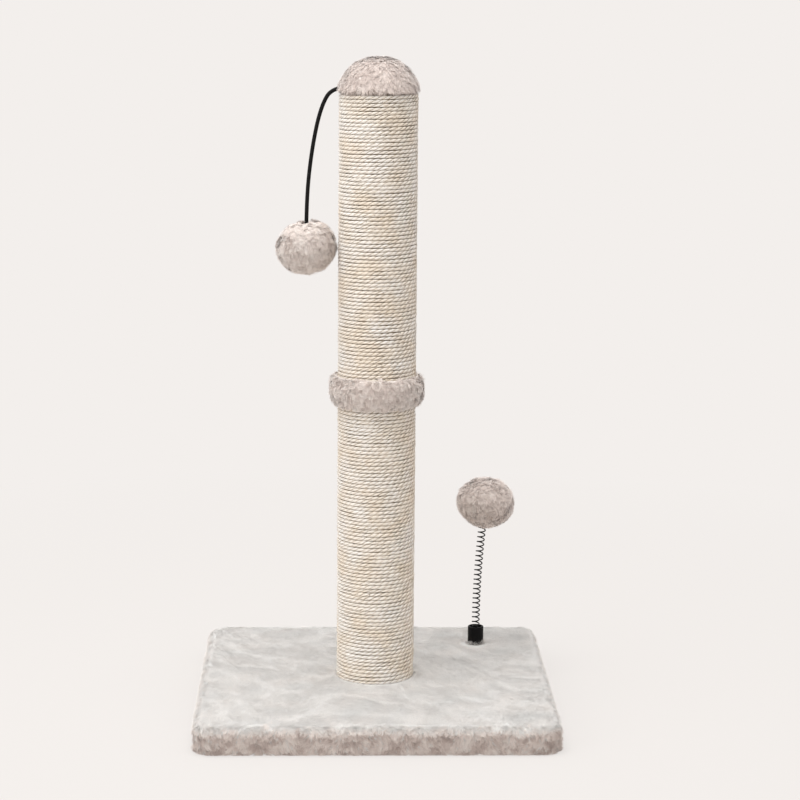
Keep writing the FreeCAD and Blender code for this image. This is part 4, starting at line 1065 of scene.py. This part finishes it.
def springFinish():
    # hard-drawn spring wire with a black oxide skin: dark and half-glossy, a little lighter and rougher in
    # soft random patches
    material, tree, shader = newFinish("blackenedSpringWire", {"Specular IOR Level": 0.2})
    wear = noise(tree, 3, addNode(tree, "TexCoord").outputs["Object"], {"Detail": 4.0})
    gloss = addNode(tree, "MapRange", {"To Min": 0.28, "To Max": 0.5}, {"Value": wear})
    paint(tree, shader, ramp(tree, [(0.4, "#020202"), (0.75, "#090808")], wear))
    tree.links.new(gloss.outputs[0], shader.inputs["Roughness"])
    return material


def makeSpring(coil):
    radius = (coil["outer"] - coil["wire"]) / 2 * mm
    finish = springFinish()
    distances = np.linspace(coil["low"], coil["high"], coil["turns"] * coil["steps"] + 1)
    angles = np.linspace(0, coil["turns"] * 2 * math.pi, len(distances))
    side = np.array((0, 1, 0))
    line = np.stack([coilLine(s)[0]
                     + (np.cross(side, coilLine(s)[1]) * math.cos(a) + side * math.sin(a)) * radius
                     for s, a in zip(distances, angles)])
    cut = int(np.searchsorted(distances, coil["cut"]))
    for (name, lower, upper, start, end), part in zip(coil["halves"], (line[:cut + 1], line[cut:])):
        tangents, first, second = lineFrames(part, np.array((0, 0, 1.0)))
        around = np.arange(coil["sides"]) * 2 * math.pi / coil["sides"]
        ring = first[:, None] * np.cos(around)[None, :, None] + second[:, None] * np.sin(around)[None, :,
                None]
        rings = part[:, None] + ring * coil["wire"] / 2 * mm
        piece = tubePiece(name, part, rings, finish)
        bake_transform(piece, lower, upper, start=coilLine(start)[0].tolist(), end=coilLine(end)[0].tolist())
        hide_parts("toy_spring")


cordLine = routeLine([(x * mm, 0.0, z * mm) for x, z in elasticCord["route"]], 32)
makeDome(plushDome)
makeCollar(plushCollar)
print("dome and collar")
makeSpring(coilSpring)
makeBall(plushBall, "hanging_ball_plush", "hanging_ball", "swing_ball", -8.0, 0.47, 1.4, 0.10, 330, nearCord)
makeBall(plushBall, "spring_ball_plush", "spring_ball", "spring_ball", 7.45, 0.34, 0.0, 0.0, 350, nearSpring)
print("spring and balls")


# ---- finishes for the pieces that keep their CAD shape
cadFinishes = {
    # raw particle board: pressed tan chips of mixed size, matt
    "pressedChipBoard": {
        "nodes": ("base_board",), "surface": {"Roughness": 0.8}, "texture": "Voronoi",
        "output": "Color", "size": (2.6, 2.6, 1.2),
        "stops": [(0.1, "#9c7b50"), (0.5, "#c6a677"), (0.9, "#dcc59b")], "relief": 0.12,
    },
    # turned pine plugs: pale, with growth rings and fine pores
    "turnedPine": {
        "nodes": ("foot_plug", "lower_head_plug", "upper_foot_plug", "head_plug"),
        "surface": {"Roughness": 0.6}, "texture": "Wave", "size": (9, 9, 60),
        "settings": {"wave_type": "RINGS", "Distortion": 3.0, "Detail": 3.0, "Scale": 0.6},
        "stops": [(0.0, "#c99f66"), (0.6, "#e2c08a"), (1.0, "#ecd3a4")], "relief": 0.08,
    },
    # spirally wound board: grey-brown paper with long fibres
    "woundPaperBoard": {
        "nodes": ("lower_tube", "upper_tube"), "surface": {"Roughness": 0.85}, "size": (0.7, 0.7, 5.0),
        "settings": {"Detail": 6.0, "Distortion": 0.6}, "stops": [(0.3, "#8d7456"), (0.7, "#b59b78")],
        "relief": 0.06,
    },
    # zinc plate on rolled steel: bright, blue-white, faintly clouded
    "zincPlatedSteel": {
        "nodes": ("base_bolt", "base_washer", "foot_tee_nut", "lower_tee_nut", "joining_stud", "upper_tee_nut",
                  "holder_screw"),
        "surface": {"Metallic": 1.0, "Roughness": 0.3}, "size": (2.5, 2.5, 2.5),
        "settings": {"Detail": 5.0}, "stops": [(0.3, "#a9adb3"), (0.7, "#d3d7dc")], "relief": 0.01,
    },
    # drawn and galvanised staple wire: greyer, with fine die lines
    "galvanisedStapleWire": {
        "nodes": ("cover_staples", "rope_staples", "cord_staple"),
        "surface": {"Metallic": 1.0, "Roughness": 0.38}, "size": (0.3, 3.0, 0.3),
        "settings": {"Detail": 3.0}, "stops": [(0.3, "#94979b"), (0.7, "#bcc0c4")], "relief": 0.01,
    },
    # open-cell foam: cream, finely pitted
    "openCellFoam": {
        "nodes": ("dome_foam", "hanging_ball_core", "spring_ball_core"),
        "surface": {"Roughness": 0.95, "Specular IOR Level": 0.1}, "texture": "Voronoi",
        "output": "Distance", "size": (0.9, 0.9, 0.9), "stops": [(0.1, "#d8cba0"), (0.6, "#f3ebce")],
        "relief": 0.3,
    },
    # injection-moulded polypropylene: black, satin, with a fine spark-eroded skin
    "mouldedBlackPlastic": {
        "nodes": ("spring_holder",), "surface": {"Roughness": 0.5, "Specular IOR Level": 0.12},
        "size": (0.35, 0.35, 0.35), "settings": {"Detail": 3.0},
        "stops": [(0.3, "#040404"), (0.7, "#0b0b0b")], "relief": 0.03,
    },
}


def makeFinish(name, recipe):
    recipe = {"texture": "Noise", "output": "Fac", "settings": {}, **recipe}
    material, tree, shader = newFinish(name, recipe["surface"])
    space = addNode(tree, "TexCoord").outputs["Object"]
    scale = tuple(1 / (s * mm) for s in recipe["size"])
    scaled = addNode(tree, "Mapping", {"Scale": scale}, {"Vector": space})
    settings = dict({"Scale": 1.0}, **recipe["settings"])
    pattern = addNode(tree, "Tex" + recipe["texture"], settings, {"Vector": scaled.outputs[0]})
    value = pattern.outputs[recipe["output"]]
    paint(tree, shader, ramp(tree, recipe["stops"], value), value, 0.6, recipe["relief"])
    return material


for name, recipe in cadFinishes.items():
    finish = makeFinish(name, recipe)
    for node in recipe["nodes"]:
        for slot in bpy.data.objects[node].material_slots:
            slot.material = finish
for slot in bpy.data.objects["cord_knot"].material_slots:
    slot.material = bpy.data.objects["elastic_cord"].data.materials[0]
print("finishes")
